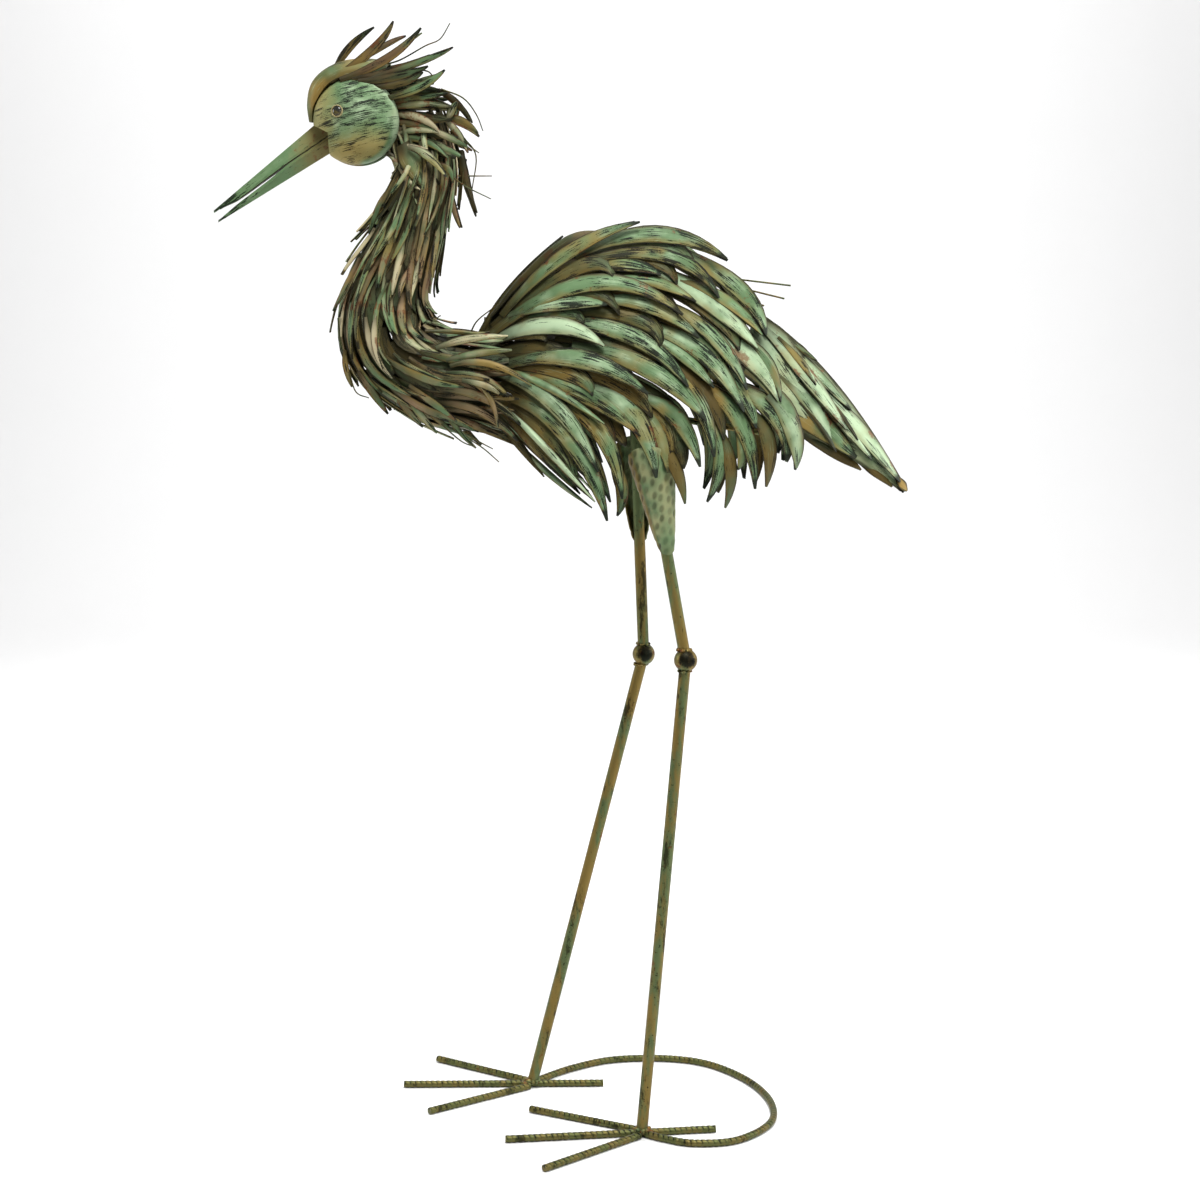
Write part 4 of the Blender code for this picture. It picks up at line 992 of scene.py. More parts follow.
BREAST_FEATHERS = (
    ((345, 350), (346, 368), (352, 387), 5.5, -22, -20, (0.20, 0.20, 0.25)),
    ((358, 372), (372, 392), (388, 414), 7.5, -24, -22, (0.10, 0.30, 0.45)),
    ((392, 386), (405, 407), (423, 427), 7.0, -26, -24, (0.20, 0.30, 0.40)),
    ((405, 392), (420, 414), (437, 433), 7.0, -28, -25, (0.55, 0.10, 0.10)),
    ((418, 398), (434, 416), (452, 430), 6.0, -28, -25, (0.10, 0.20, 0.30)),
    ((446, 414), (460, 432), (476, 448), 5.0, -30, -26, (0.30, 0.10, 0.20)),
    ((392, 186), (378, 208), (369, 234), 5.5, -12, -10, (0.20, 0.30, 0.30)),
    ((402, 168), (391, 188), (382, 206), 4.5, -14, -12, (0.10, 0.30, 0.55)),
    ((360, 258), (347, 285), (333, 311), 5.5, -16, -14, (0.30, 0.20, 0.20)),
    ((450, 190), (454, 210), (460, 228), 4.5, -10, -8, (0.10, 0.20, 0.50)),
    ((425, 331), (458, 332), (489, 336), 4.0, -33, -30, (0.10, 0.00, 0.05)),
    ((436, 348), (468, 339), (508, 336), 8.0, -37, -40, (0.80, 0.10, 0.00)),
    ((446, 360), (480, 353), (512, 350), 8.0, -38, -44, (0.60, 0.10, 0.05)),
    ((450, 366), (490, 364), (532, 386), 7.0, -39, -50, (0.20, 0.10, 0.00)),
    ((446, 374), (480, 378), (508, 396), 9.0, -38, -48, (0.45, 0.40, 0.20)),
    ((458, 376), (486, 392), (498, 427), 6.5, -41, -46, (0.10, 0.10, 0.00)),
    ((440, 390), (484, 398), (522, 426), 9.0, -38, -46, (0.30, 0.40, 0.30)),
    ((436, 402), (480, 412), (518, 441), 9.0, -34, -40, (0.20, 0.30, 0.35)),
    ((428, 412), (476, 426), (520, 447), 8.0, -28, -32, (0.05, 0.20, 0.45)),
    ((462, 380), (484, 385), (499, 394), 7.0, -43, -48, (0.80, 0.00, 0.00)),
    ((420, 352), (465, 362), (505, 372), 9.0, -36, -42, (0.20, 0.40, 0.40)),
    ((425, 368), (468, 385), (500, 412), 9.0, -36, -42, (0.20, 0.30, 0.45)),
)


def free_feather(drawing, line, side, dice, cup=NAPE_CUP, wobble=0.0, grid=LEAF_GRID):
    """A feather from spots of the picture, with its own depth at the root and the tip."""
    *spots, width, root_depth, tip_depth, tint = line
    root, via, tip = (Vector(spot) for spot in spots)
    tip += Vector((dice.uniform(-1, 1), dice.uniform(-1, 1))) * wobble
    roll = dice.uniform(-0.25, 0.25) * width

    def place_of(share, across):
        spot = bent_line(root, via, tip, share)
        slope = bent_slope(root, via, tip, share)
        half = width * blade(share, 0.6, 0.4, 0.16, 2.2) / 2.0
        spot += Vector((-slope.y, slope.x)) * half * across
        depth = root_depth + (tip_depth - root_depth) * share
        depth -= cup * (1.0 - across ** 2) + roll * across * share
        place = from_picture(spot.x, spot.y, depth)
        place.y *= side
        return place

    length = ((via - root).length + (tip - via).length) * SPOT_SIZE
    add_feather(drawing, *grid, place_of, length, width * SPOT_SIZE, tint)


def head_point(degrees, radius, y):
    angle = math.radians(degrees)
    return Vector((HEAD_CENTRE[0] + radius * math.cos(angle), y,
                   HEAD_CENTRE[1] + radius * math.sin(angle)))


def cap_place(share, across):
    """A spot of the cap, from brow to crown and from its far edge over the ridge to the near."""
    degrees = CREST_CAP[0][0] + (CREST_CAP[-1][0] - CREST_CAP[0][0]) * share
    table = [(-angle, *values) for angle, *values in CREST_CAP]
    ridge, edge, half_width = station(table, -degrees)
    round_the_head = across * math.pi / 2.0
    radius = edge + (ridge - edge) * math.cos(round_the_head)
    radius += 0.5 * math.sin(5.0 * share * math.pi) * across ** 2
    return head_point(degrees, radius, half_width * math.sin(round_the_head))


def tint_all(drawing, rule):
    """Writes place and tint of every vertex by a rule of its own place."""
    place, colour = layers(drawing)
    for vert in drawing.verts:
        vert[place], vert[colour] = (Vector(value) for value in rule(vert))


cap = sheet_drawing()
add_feather(cap, *CAP_GRID, cap_place, CAP_LENGTH, CAP_WIDTH, (0.30, 0.40, 0.0))


def cap_rule(vert):
    """Green on top, ochre along the lower edge and at the brow, with painted shadow under the
    curled lower edge and the brow kept lighter, partly its cream-ochre paint and partly a painted
    highlight.
    """
    height = (vert.co - Vector((HEAD_CENTRE[0], vert.co.y, HEAD_CENTRE[1]))).length
    rim = ease((44.0 - height) / 7.0)
    brow = ease((-196.0 - vert.co.x) / 16.0)
    streaks = 0.9 * ease((height - 44.0) / 5.0) * (1.0 - ease((vert.co.x + 190.0) / 14.0))
    # Painted shadow darkens the curled lower edge; the brow is kept lighter, partly its
    # cream-ochre paint and partly a painted highlight.
    shade = 0.22 + 0.35 * rim * (1.0 - brow) - 0.20 * brow
    return (0.0, 0.42, 0.0), (0.38 - 0.38 * rim - 0.15 * brow, streaks, shade)


tint_all(cap, cap_rule)
show("cap", cap, HEAD_PATINA, ["crest_cap"], CAP_SHEET, ROUNDED)

dice = random.Random("head")
for side_name, crest in (("near", NEAR_CREST), ("far", FAR_CREST)):
    drawing = sheet_drawing()
    for line in crest:
        free_feather(drawing, line, 1.0, dice)
    show(f"{side_name}_crest_feathers", drawing, CREST_PATINA,
         [f"{side_name}_crest_fan"], SHEET)
for side_name, side in SIDES:
    drawing = sheet_drawing()
    wobble = 0.0 if side > 0 else FAR_HEAD_WOBBLE
    for line in NAPE_UNDER + NAPE_LEAVES:
        free_feather(drawing, line, side, dice, NAPE_CUP, wobble)
    free_feather(drawing, NAPE_PLATE, side, dice, PLATE_CUP, 0.0, PLATE_LEAF_GRID)
    show(f"{side_name}_nape_feathers", drawing, NAPE_PATINA,
         [f"{side_name}_nape_fan"], SHEET)
    drawing = sheet_drawing()
    for line in BREAST_FEATHERS:
        free_feather(drawing, line, side, dice, BREAST_CUP, wobble)
    show(f"{side_name}_breast_feathers", drawing, NECK_PATINA, [], SHEET)

# %% [markdown]
# Tube, bar and wire are one ring of points carried along a route. A grid is rolled up
# round the route, its seam is merged and its ends are closed. Ribbed bar is the same with
# a slanting groove every 5 mm, and the grooves keep dark paint.

# %% Bars and wires
RIB_PITCH = 4.9
RIB_DEPTH = 0.42
RIB_SLANT = 0.30
RIB_GAP = 3.4
GREEN_FADE = 0.6


def even_route(route, spacing):
    """The same route with points at even distances."""
    even = [route[0]]
    left = spacing
    for start, end in zip(route, route[1:]):
        length = (end - start).length
        travelled = left
        while travelled <= length:
            even.append(start.lerp(end, travelled / length))
            travelled += spacing
        left = travelled - length
    if (even[-1] - route[-1]).length > spacing * 0.3:
        even.append(route[-1])
    return even


def add_bar(drawing, route, radius, sides, ribbed=False, taper=1.0, shade=0.0, green=0.0):
    """Rolls a grid round a route into a closed bar."""
    _, colour = layers(drawing)
    rings = len(route) - 1
    made = bmesh.ops.create_grid(drawing, x_segments=rings, y_segments=sides, size=0.5)["verts"]
    frames, travelled, side = [], [0.0], Vector((0.0, 1.0, 0.0))
    for index in range(rings + 1):
        ahead = (route[min(index + 1, rings)] - route[max(index - 1, 0)]).normalized()
        up = ahead.cross(side).normalized() if abs(ahead.dot(side)) < 0.99 else Vector((0, 0, 1))
        side = up.cross(ahead).normalized()
        frames.append((side, up))
        if index:
            travelled.append(travelled[-1] + (route[index] - route[index - 1]).length)
    for vert in made:
        index = round((vert.co.x + 0.5) * rings)
        angle = (vert.co.y + 0.5) * 2.0 * math.pi
        side, up = frames[index]
        reach = radius * (1.0 + (taper - 1.0) * index / rings)
        groove = 0.0
        if ribbed:
            turn = travelled[index] / RIB_PITCH + RIB_SLANT * math.cos(angle)
            groove = (0.5 + 0.5 * math.cos(2.0 * math.pi * turn)) ** RIB_GAP
            reach -= RIB_DEPTH * groove
        out = side * math.cos(angle) + up * math.sin(angle)
        dark = groove * (0.35 + 0.65 * max(out.z, 0.0)) if ribbed else shade
        vert[colour] = Vector((green * (1.0 - ease(index / rings / GREEN_FADE)), 0.0, dark))
        vert.co = route[index] + out * reach
    bmesh.ops.remove_doubles(drawing, verts=made, dist=radius * 0.02)
    kept = [vert for vert in made if vert.is_valid]
    open_edges = {edge for vert in kept for edge in vert.link_edges if edge.is_boundary}
    bmesh.ops.holes_fill(drawing, edges=list(open_edges))
    bmesh.ops.recalc_face_normals(drawing, faces=drawing.faces)


def add_bead(drawing, place, radius, stretch, dice, rust=0.8):
    """A lump of weld metal."""
    _, colour = layers(drawing)
    made = bmesh.ops.create_icosphere(drawing, subdivisions=3, radius=radius)["verts"]
    offset = Vector((dice.uniform(0, 50), dice.uniform(0, 50), 0.0))
    for vert in made:
        lump = noise.noise(vert.co * 0.45 + offset) * 0.35 + noise.noise(vert.co * 1.3) * 0.12
        vert[colour] = Vector((0.0, rust * dice.uniform(0.6, 1.0), 0.25))
        bulge = vert.co * (1.0 + lump)
        vert.co = place + Vector((bulge.x * stretch[0], bulge.y * stretch[1],
                                  bulge.z * stretch[2]))


def bead_ring(drawing, centre, radius, count, sizes, stretch, dice, rust=0.8):
    """Drops of weld metal all round a tube."""
    for turn in range(count):
        angle = 2.0 * math.pi * turn / count
        spot = Vector((math.cos(angle), math.sin(angle), 0.0)) * radius
        add_bead(drawing, centre + spot, dice.uniform(*sizes), stretch, dice, rust)


# %% [markdown]
# Each foot is a length of ribbed bar with a shorter one welded to either flank, and a
# fourth bar, bent to a loop, joins both feet on the ground. The side toes end a tenth of a
# millimetre before the solids' toes, so that no rib stands past them.

# %% Feet and loop
BAR_RADIUS = 3.24
BAR_REST = 3.241
BAR_SIDES = 12
BAR_STEP = 1.0
TOE_BEADS = 9
TOE_BEAD_SIZE = (2.0, 3.4)
FEET = {"far": ((-35, 48), 181), "near": ((63.5, -65), 187)}
TOE_LENGTH = 119.0
SIDE_TOE_LENGTH = 111.9
HEEL_LENGTH = 65.0
TOE_SPREAD = 35.0
LOOP_ROUTE = ((-34, 52), (-25, 62), (2, 87), (40, 108), (90, 111), (130, 96), (164, 55),
              (181, 5), (177, -44), (146, -81), (108, -88), (82, -78), (67, -68))


def on_ground(degrees):
    return Vector((math.cos(math.radians(degrees)), math.sin(math.radians(degrees)), 0.0))


dice = random.Random("feet")
for side_name, (place, heading) in FEET.items():
    centre = Vector((*place, BAR_REST))
    forward = on_ground(heading)
    toes = {"middle": (centre + TOE_LENGTH * forward, centre - HEEL_LENGTH * forward)}
    for label, spread in (("outer", TOE_SPREAD), ("inner", -TOE_SPREAD)):
        pointing = on_ground(heading + spread)
        beside = on_ground(heading + math.copysign(90.0, spread)) * BAR_RADIUS * 1.3
        toes[label] = (centre + SIDE_TOE_LENGTH * pointing, centre + beside + pointing * 4.0)
    for label, (tip, root) in toes.items():
        drawing = sheet_drawing()
        add_bar(drawing, even_route([tip, root], BAR_STEP), BAR_RADIUS, BAR_SIDES, ribbed=True)
        if label == "middle":
            for _ in range(TOE_BEADS):
                spot = centre + Vector((dice.uniform(-8, 7), dice.uniform(-6, 6), 1.5))
                add_bead(drawing, spot, dice.uniform(*TOE_BEAD_SIZE), (1.2, 1.1, 0.8), dice)
        show(f"{side_name}_{label}_toe", drawing, BAR_PATINA,
             [f"{side_name}_foot_{label}_toe"], sharp=ROUNDED)

loop_route = smooth_route([(x, y, BAR_REST) for x, y in LOOP_ROUTE], 24)
drawing = sheet_drawing()
add_bar(drawing, even_route(loop_route, BAR_STEP), BAR_RADIUS, BAR_SIDES, ribbed=True)
show("ground_loop", drawing, BAR_PATINA, ["foot_loop"], sharp=ROUNDED)

# %% [markdown]
# The legs are thin steel tube, with a ball welded in at the knee. A drop of weld metal
# sits wherever tube meets ball or bar.

# %% Legs
TUBE_RADIUS = 5.0
KNEE_RADIUS = 10.0
KNEES = {"far": (66, 42, 407), "near": (100, -42, 416)}
HIP_X = {"far": 58.0, "near": 64.5}
HIP_HEIGHT = 618.0
HIP_BAR_RADIUS = 4.0
HIP_GAP = 0.5
TUBE_SIDES = 28
TUBE_STEP = 12.0
KNEE_INSET = 0.6
KNEE_BEADS = 7
KNEE_BEAD_SIZE = (1.5, 2.4)
ANKLE_BEADS = 8
ANKLE_BEAD_SIZE = (1.8, 3.0)
ANKLE_RUST = 0.5
KNEE_DARK_AND_REFLECTION = 0.80
TUBE_SHADE = {"shin": 0.24, "thigh_tube": 0.0}
TUBE_GREEN = {"shin": 0.0, "thigh_tube": 1.0}


def ball_drawing(knee, dark_and_reflection):
    """The knee ball, ochre round a dark front that faces the camera, partly its dark paint and
    partly a painted reflection of the darker side of the room.
    """
    ball = sheet_drawing()
    bmesh.ops.create_uvsphere(ball, u_segments=36, v_segments=20, radius=KNEE_RADIUS)
    # Towards the camera: the dark here is partly paint and partly a painted reflection.
    front = Vector((0.15, -1.0, 0.25)).normalized()

    def rule(vert):
        facing = vert.co.normalized().dot(front)
        return (0.0, 0.5, 0.0), (0.0, 0.3, dark_and_reflection * ease((facing - 0.35) / 0.55))

    tint_all(ball, rule)
    bmesh.ops.translate(ball, verts=ball.verts, vec=knee)
    return ball


dice = random.Random("legs")
for side_name, (place, _) in FEET.items():
    knee = Vector(KNEES[side_name])
    ankle = Vector((*place, BAR_REST + BAR_RADIUS * 0.9))
    hip = Vector((HIP_X[side_name], knee.y, HIP_HEIGHT - HIP_BAR_RADIUS - HIP_GAP))
    ends = {"shin": (ankle, knee), "thigh_tube": (hip, knee)}
    for label, (start, end) in ends.items():
        drawing = sheet_drawing()
        along = (end - start).normalized()
        stop = end - along * (KNEE_RADIUS - KNEE_INSET)
        add_bar(drawing, even_route([start, stop], TUBE_STEP), TUBE_RADIUS, TUBE_SIDES,
                shade=TUBE_SHADE[label], green=TUBE_GREEN[label])
        bead_ring(drawing, stop, TUBE_RADIUS, KNEE_BEADS, KNEE_BEAD_SIZE, (1, 1, 0.7), dice)
        if label == "shin":
            bead_ring(drawing, start, TUBE_RADIUS, ANKLE_BEADS, ANKLE_BEAD_SIZE, (1.1, 1.1, 1),
                      dice, ANKLE_RUST)
        show(f"{side_name}_{label}", drawing, LEG_PATINA,
             [f"{side_name}_{label}"], sharp=ROUNDED)
    show(f"{side_name}_knee", ball_drawing(knee, KNEE_DARK_AND_REFLECTION), LEG_PATINA,
         [f"{side_name}_knee_ball"], sharp=HAMMERED)

# %% [markdown]
# A half cone of sheet hangs outside each thigh. It was beaten over a round stake, which
# left rows of shallow dents that the dark wash has run into. The noise that shakes their
# places starts from the clock unless it is given a seed, so it gets one.

# %% Thigh plates
THIGH_LOW = 507.0
THIGH_HIGH = 600.0
THIGH_LOW_RADIUS = 6.6
THIGH_HIGH_RADIUS = 21.5
THIGH_WRAP = 205.0
THIGH_LEAN = 12.0
THIGH_COLUMNS = 64
THIGH_ROWS = 80
DENT_PITCH = (6.6, 8.8)
DENT_SIZE = (2.2, 3.9)
DENT_DEPTH = 0.9
DENT_JITTER = 2.3
DENT_TURN = math.radians(24.0)
DENT_SEED = 7
noise.seed_set(DENT_SEED)


def dent_depth(across, up):
    """How deep the sheet is beaten at a spot of its flat, in rows that lean a little."""
    turned = Matrix.Rotation(DENT_TURN, 2) @ Vector((across, up))
    row = round(turned.y / DENT_PITCH[1])
    start = 0.5 * DENT_PITCH[0] * (row % 2)
    column = round((turned.x - start) / DENT_PITCH[0])
    jitter = noise.noise_vector(Vector((column * 3.7, row * 5.3, 0.5))) * DENT_JITTER
    from_centre = Vector((turned.x - start - column * DENT_PITCH[0] + jitter.x,
                          turned.y - row * DENT_PITCH[1] + jitter.y))
    away = Vector((from_centre.x / DENT_SIZE[0], from_centre.y / DENT_SIZE[1])).length
    return ease((1.25 - away) / 0.7) * (0.75 + jitter.z * 0.35)


def thigh_drawing(side_name):
    outward = math.copysign(1.0, KNEES[side_name][1])
    knee = Vector(KNEES[side_name])
    hip = Vector((HIP_X[side_name], knee.y, HIP_HEIGHT))
    drawing = sheet_drawing()
    place, colour = layers(drawing)
    made = bmesh.ops.create_grid(drawing, x_segments=THIGH_COLUMNS, y_segments=THIGH_ROWS,
                                 size=0.5)["verts"]
    for vert in made:
        across, rise = vert.co.x + 0.5, vert.co.y + 0.5
        angle = math.radians((across - 0.5) * THIGH_WRAP)
        rounding = 1.0 - 0.22 * rise ** 3 * (2.0 * across - 1.0) ** 2
        height = THIGH_LOW + (THIGH_HIGH - THIGH_LOW) * rise * rounding
        height += 7.0 * (2.0 * across - 1.0) ** 2 * (1.0 - rise) ** 6
        share = (height - THIGH_LOW) / (THIGH_HIGH - THIGH_LOW)
        radius = THIGH_LOW_RADIUS + (THIGH_HIGH_RADIUS - THIGH_LOW_RADIUS) * share
        radius -= 1.0 * (1.0 - rise) ** 10
        dent = dent_depth(angle * radius, height)
        middle = knee + (hip - knee) * ((height - knee.z) / (hip.z - knee.z))
        middle.y += outward * THIGH_LEAN * ease(share * 1.3)
        out = Vector((math.sin(angle), outward * math.cos(angle), 0.0))
        vert.co = middle + out * (radius - DENT_DEPTH * dent)
        shaded = ease((-angle - 0.55) / 0.5)
        vert[place] = Vector((0.3 + 0.5 * shaded, 0.60, 0.0))
        vert[colour] = Vector((0.70 - 0.6 * shaded, 0.1, 0.62 * dent + 0.12 * shaded))
    return drawing


THIGH_OCHRE = (0.22, 0.18, 0.06)
THIGH_BLOOM = (0.36, 0.37, 0.19)
THIGH_PATINA = feather_finish("thigh_patina", THIGH_OCHRE, THIGH_BLOOM, 0.4, 0.72, patchy=0.7)
for side_name in FEET:
    show(f"{side_name}_hammered_plate", thigh_drawing(side_name), THIGH_PATINA,
         [f"{side_name}_thigh_plate"], SHEET, HAMMERED)

# %% [markdown]
# The eye is a washer with a glass-smooth dark dome set in it. Both are half outlines spun
# round one axis and then turned to stand square on the cheek.

# %% Eyes
EYE_PLACE = (-190.5, 874.5)
EYE_RADIUS = 5.2
WASHER_OUTLINE = ((1.0, 0.0), (1.0, 0.9), (0.95, 1.25), (0.86, 1.3), (0.80, 1.0), (0.78, 0.3))
DOME_OUTLINE = ((0.80, 0.2), (0.74, 0.9), (0.56, 1.5), (0.30, 1.9), (0.0, 2.05))

EYE_DARK = (0.020, 0.021, 0.018)
EYE_BROWN = (0.075, 0.060, 0.022)
RING_OCHRE = (0.33, 0.27, 0.12)
RING_BLOOM = (0.42, 0.36, 0.19)
EYE_TURNS = 40
EYE_LIFT = 0.3

gloss = Finish("eye_gloss", 0.12, 0.0)
gloss_spot = gloss.node("ShaderNodeTexCoord", output=3)
gloss_cloud = gloss.noise(gloss_spot, 160.0, 2.0, 0.5).between(0.42, 0.62)
gloss.join(gloss.mix(EYE_DARK, EYE_BROWN, gloss_cloud), gloss.shader.inputs["Base Color"])
gloss.shader.inputs["Coat Weight"].default_value = 0.6

ring = metal_finish("eye_ring", RING_OCHRE, RING_BLOOM, 0.45, 0.70, 0.80)


def spun(outline):
    """Spins a half outline, given in eye radii and millimetres, round the Z axis."""
    shape = sheet_drawing()
    verts = [shape.verts.new((share * EYE_RADIUS, 0.0, height)) for share, height in outline]
    edges = [shape.edges.new(pair) for pair in zip(verts, verts[1:])]
    bmesh.ops.spin(shape, geom=verts + edges, cent=(0, 0, 0), axis=(0, 0, 1),
                   angle=2.0 * math.pi, steps=EYE_TURNS, use_merge=True)
    bmesh.ops.remove_doubles(shape, verts=shape.verts, dist=0.005)
    bmesh.ops.recalc_face_normals(shape, faces=shape.faces)
    return shape


def cheek_spot(x, z, side):
    """Place and outward direction on a cheek."""
    across, up = x - HEAD_CENTRE[0], z - HEAD_CENTRE[1]
    share = math.sqrt(1.0 - (across ** 2 + up ** 2) / CHEEK_RADIUS ** 2)
    place = Vector((x, -side * (CHEEK_SPLIT + CHEEK_HEIGHT * share), z))
    out = Vector((across / CHEEK_RADIUS ** 2, -side * share / CHEEK_HEIGHT,
                  up / CHEEK_RADIUS ** 2))
    return place, out.normalized()


for side_name, side in SIDES:
    place, out = cheek_spot(*EYE_PLACE, side)
    turn = out.to_track_quat("Z", "Y").to_matrix()
    for label, outline, finish in (("washer", WASHER_OUTLINE, ring),
                                   ("dome", DOME_OUTLINE, gloss.material)):
        shape = spun(outline)
        bmesh.ops.rotate(shape, verts=shape.verts, matrix=turn)
        bmesh.ops.translate(shape, verts=shape.verts, vec=place + out * EYE_LIFT)
        show(f"{side_name}_eye_{label}", shape, finish,
             [f"{side_name}_eye"], sharp=40.0)

# %% [markdown]
# The beak is two folded halves of sheet. Their solids stay, and three thin strips are laid
# between them: a lip that closes the mouth next to the cheeks, a rim that hangs lower
# towards the tip, and a dark strip just under that rim, a painted shadow of the inside of
# the mouth. The finish runs along the beak, from the ochre by the cheeks to the black
# brushed on the tip.

# %% Beak
BEAK_AHEAD = Vector((0.83, 0.56))
BEAK_OCHRE = (-0.236, -0.202)
BEAK_DARK = (-0.290, -0.245)
BEAK_GROUND = (0.17, 0.14, 0.05)
BEAK_CORNER = Vector((-199.0, 0.0, 857.0))
UPPER_TIP = Vector((-299.0, 0.0, 793.0))
LOWER_TIP = Vector((-296.0, 0.0, 787.0))
LIP_LENGTH = 0.955
LIP_SHEET = 2.2
LIP_ROOT_HALF = 7.5
LIP_NARROWING = 6.6
SHADOW_STRIP_SHEET = 0.7
SHADOW_STRIP_UNDER = 0.05
LIP_TINT = (0.3, 0.0, 0.0)
# Tint of the strip of painted shadow under the rim.
SHADOW_STRIP_TINT = (0.3, 0.0, 0.8)


def beak_finish():
    """Green in the middle, ochre by the cheek, with black brushed along it at the tip."""
    finish = Finish("beak_patina", metallic=0.1)
    spot = finish.node("ShaderNodeTexCoord", output=3)
    x, y, z = finish.parts(spot)
    ahead = x * BEAK_AHEAD.x + z * BEAK_AHEAD.y
    aside = x * BEAK_AHEAD.y - z * BEAK_AHEAD.x
    flat = finish.node("ShaderNodeCombineXYZ", {}, {"X": aside * 900.0, "Y": ahead * 90.0, "Z": y})
    brush = finish.noise(flat, 1.0, 4.0, 0.65)
    clouds = finish.noise(spot, 60.0, 3.0, 0.6)
    by_cheek = (x + (clouds - 0.5) * 0.05).between(*BEAK_OCHRE)
    colour = finish.mix(GREEN, PALE, (clouds * 0.9 + brush * 0.2 - 0.2).between(0.3, 0.9) * 0.6)
    colour = finish.mix(colour, BEAK_GROUND, by_cheek)
    rusty = (finish.noise(spot, 130.0, 3.0, 0.6) + by_cheek * 0.1).between(0.66, 0.74)
    colour = finish.mix(colour, RUST, rusty * 0.5)
    at_tip = 1.0 - x.between(*BEAK_DARK)
    colour = finish.mix(colour, BLACK, (brush + at_tip * 0.22 - 0.06).between(0.56, 0.62) * 0.9)
    finish.wear(colour, 0.34 + clouds * 0.2, brush, 0.0003)
    return finish.material


def lower_rise(reach):
    """The lip of the lower half closes the mouth next to the cheeks."""
    rise = min(6.5 * reach - 0.4, 1.9) * (1.0 - 0.55 * ease((reach - 0.30) / 0.30))
    return rise * (1.0 - ease((reach - 0.80) / 0.16))


def upper_drop(reach):
    """The rim of the upper half hangs lower towards the tip."""
    return -2.3 * ease((reach - 0.30) / 0.55) * (1.0 - 0.9 * ease((reach - 0.80) / 0.16))


def shadow_strip_drop(reach):
    """The strip of painted shadow lies just under the rim."""
    return upper_drop(reach) - SHADOW_STRIP_UNDER


def lip_drawing(tip, offset, inward, sheet, tint):
    """A strip along one half of the beak, narrowing to its tip."""
    line = tip - BEAK_CORNER
    up = Vector((line.z, 0.0, -line.x)).normalized()

    def lip_place(share, across):
        reach = LIP_LENGTH * share
        half = LIP_ROOT_HALF - LIP_NARROWING * reach
        rise = offset(reach) + inward * sheet / 2.0
        return BEAK_CORNER + line * reach + up * rise + Vector((0.0, across * half, 0.0))

    drawing = sheet_drawing()
    add_feather(drawing, 30, 4, lip_place, line.length, 12.0, tint)
    return drawing


BEAK_PATINA = beak_finish()
for name, tip, offset, inward, sheet, tint, finish in (
        ("beak_lip", LOWER_TIP, lower_rise, -1.0, LIP_SHEET, LIP_TINT, BEAK_PATINA),
        ("beak_rim", UPPER_TIP, upper_drop, 1.0, LIP_SHEET, LIP_TINT, BEAK_PATINA),
        # A dark strip as painted shadow inside the mouth.
        ("beak_shadow_strip", UPPER_TIP, shadow_strip_drop, 1.0, SHADOW_STRIP_SHEET, SHADOW_STRIP_TINT, HEAD_PATINA)):
    show(name, lip_drawing(tip, offset, inward, sheet, tint), finish, [], sheet)

# %% [markdown]
# Where the shape of a solid is already right it stays, and only gets its finish: the two
# halves of the beak, the hip bar, the rails, the spine rod and the back wires.

# %% Finishes for the solids that stay
STAYS = {"beak_upper": BEAK_PATINA, "beak_lower": BEAK_PATINA, "hip_bar": LEG_PATINA,
         "near_frame_rail": LEG_PATINA, "far_frame_rail": LEG_PATINA, "spine_rod": WIRE_PATINA,
         "back_wire_1": WIRE_PATINA, "back_wire_2": WIRE_PATINA, "back_wire_3": WIRE_PATINA}
for name, finish in STAYS.items():
    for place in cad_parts[name].material_slots:
        place.material = finish
print("solids that stay:", len(STAYS))

# %% [markdown]
# Between the wings the back is closed by an arched strip under four long dark feathers
# that run up from the end of the neck. Behind them two rows of plain feathers lie flat
# between the wings, down to the tail. The dice go on from the legs.

# %% Back
SADDLE_FROM = -66.0
SADDLE_TO = 34.0
SADDLE_RISE = 9.0
SADDLE_DIP = 4.0
SADDLE_LENGTH = 110.0
SADDLE_WIDTH = 20.0
SADDLE_TINT = (0.10, 0.20, 0.80)
BACK_FEATHERS = (
    ((478, 338), (512, 288), (563, 236), 8.0, 6, 8, (0.30, 0.60, 0.65)),
    ((483, 339), (522, 285), (577, 235), 8.0, 2, 4, (0.45, 0.95, 0.30)),
    ((488, 340), (532, 285), (594, 233), 10.0, -2, 0, (0.50, 1.00, 0.20)),
    ((494, 338), (538, 293), (590, 244), 9.0, -6, -8, (0.40, 0.90, 0.45)),
)


def saddle_place(share, across):
    x = SADDLE_FROM + (SADDLE_TO - SADDLE_FROM) * share
    top, _, _, ridge = station(BODY, x)
    taper = math.sin(math.pi * (0.12 + 0.76 * share))
    height = top + 1.5 + SADDLE_RISE * taper * (1.0 - across ** 2)
    height -= SADDLE_DIP * ease((share - 0.72) / 0.28)
    narrowed = 1.0 - 0.7 * ease((share - 0.66) / 0.34)
    return Vector((x, across * narrowed * (ridge + 2.0), height))


RIDGE_STARTS = (20.0, 51.0, 82.0, 113.0, 144.0, 175.0, 198.0)
RIDGE_LENGTH = 58.0
RIDGE_HALF = 9.5
RIDGE_ASIDE = 7.5
RIDGE_UNDER = 7.0
FAR_ROW_AHEAD = 15.0


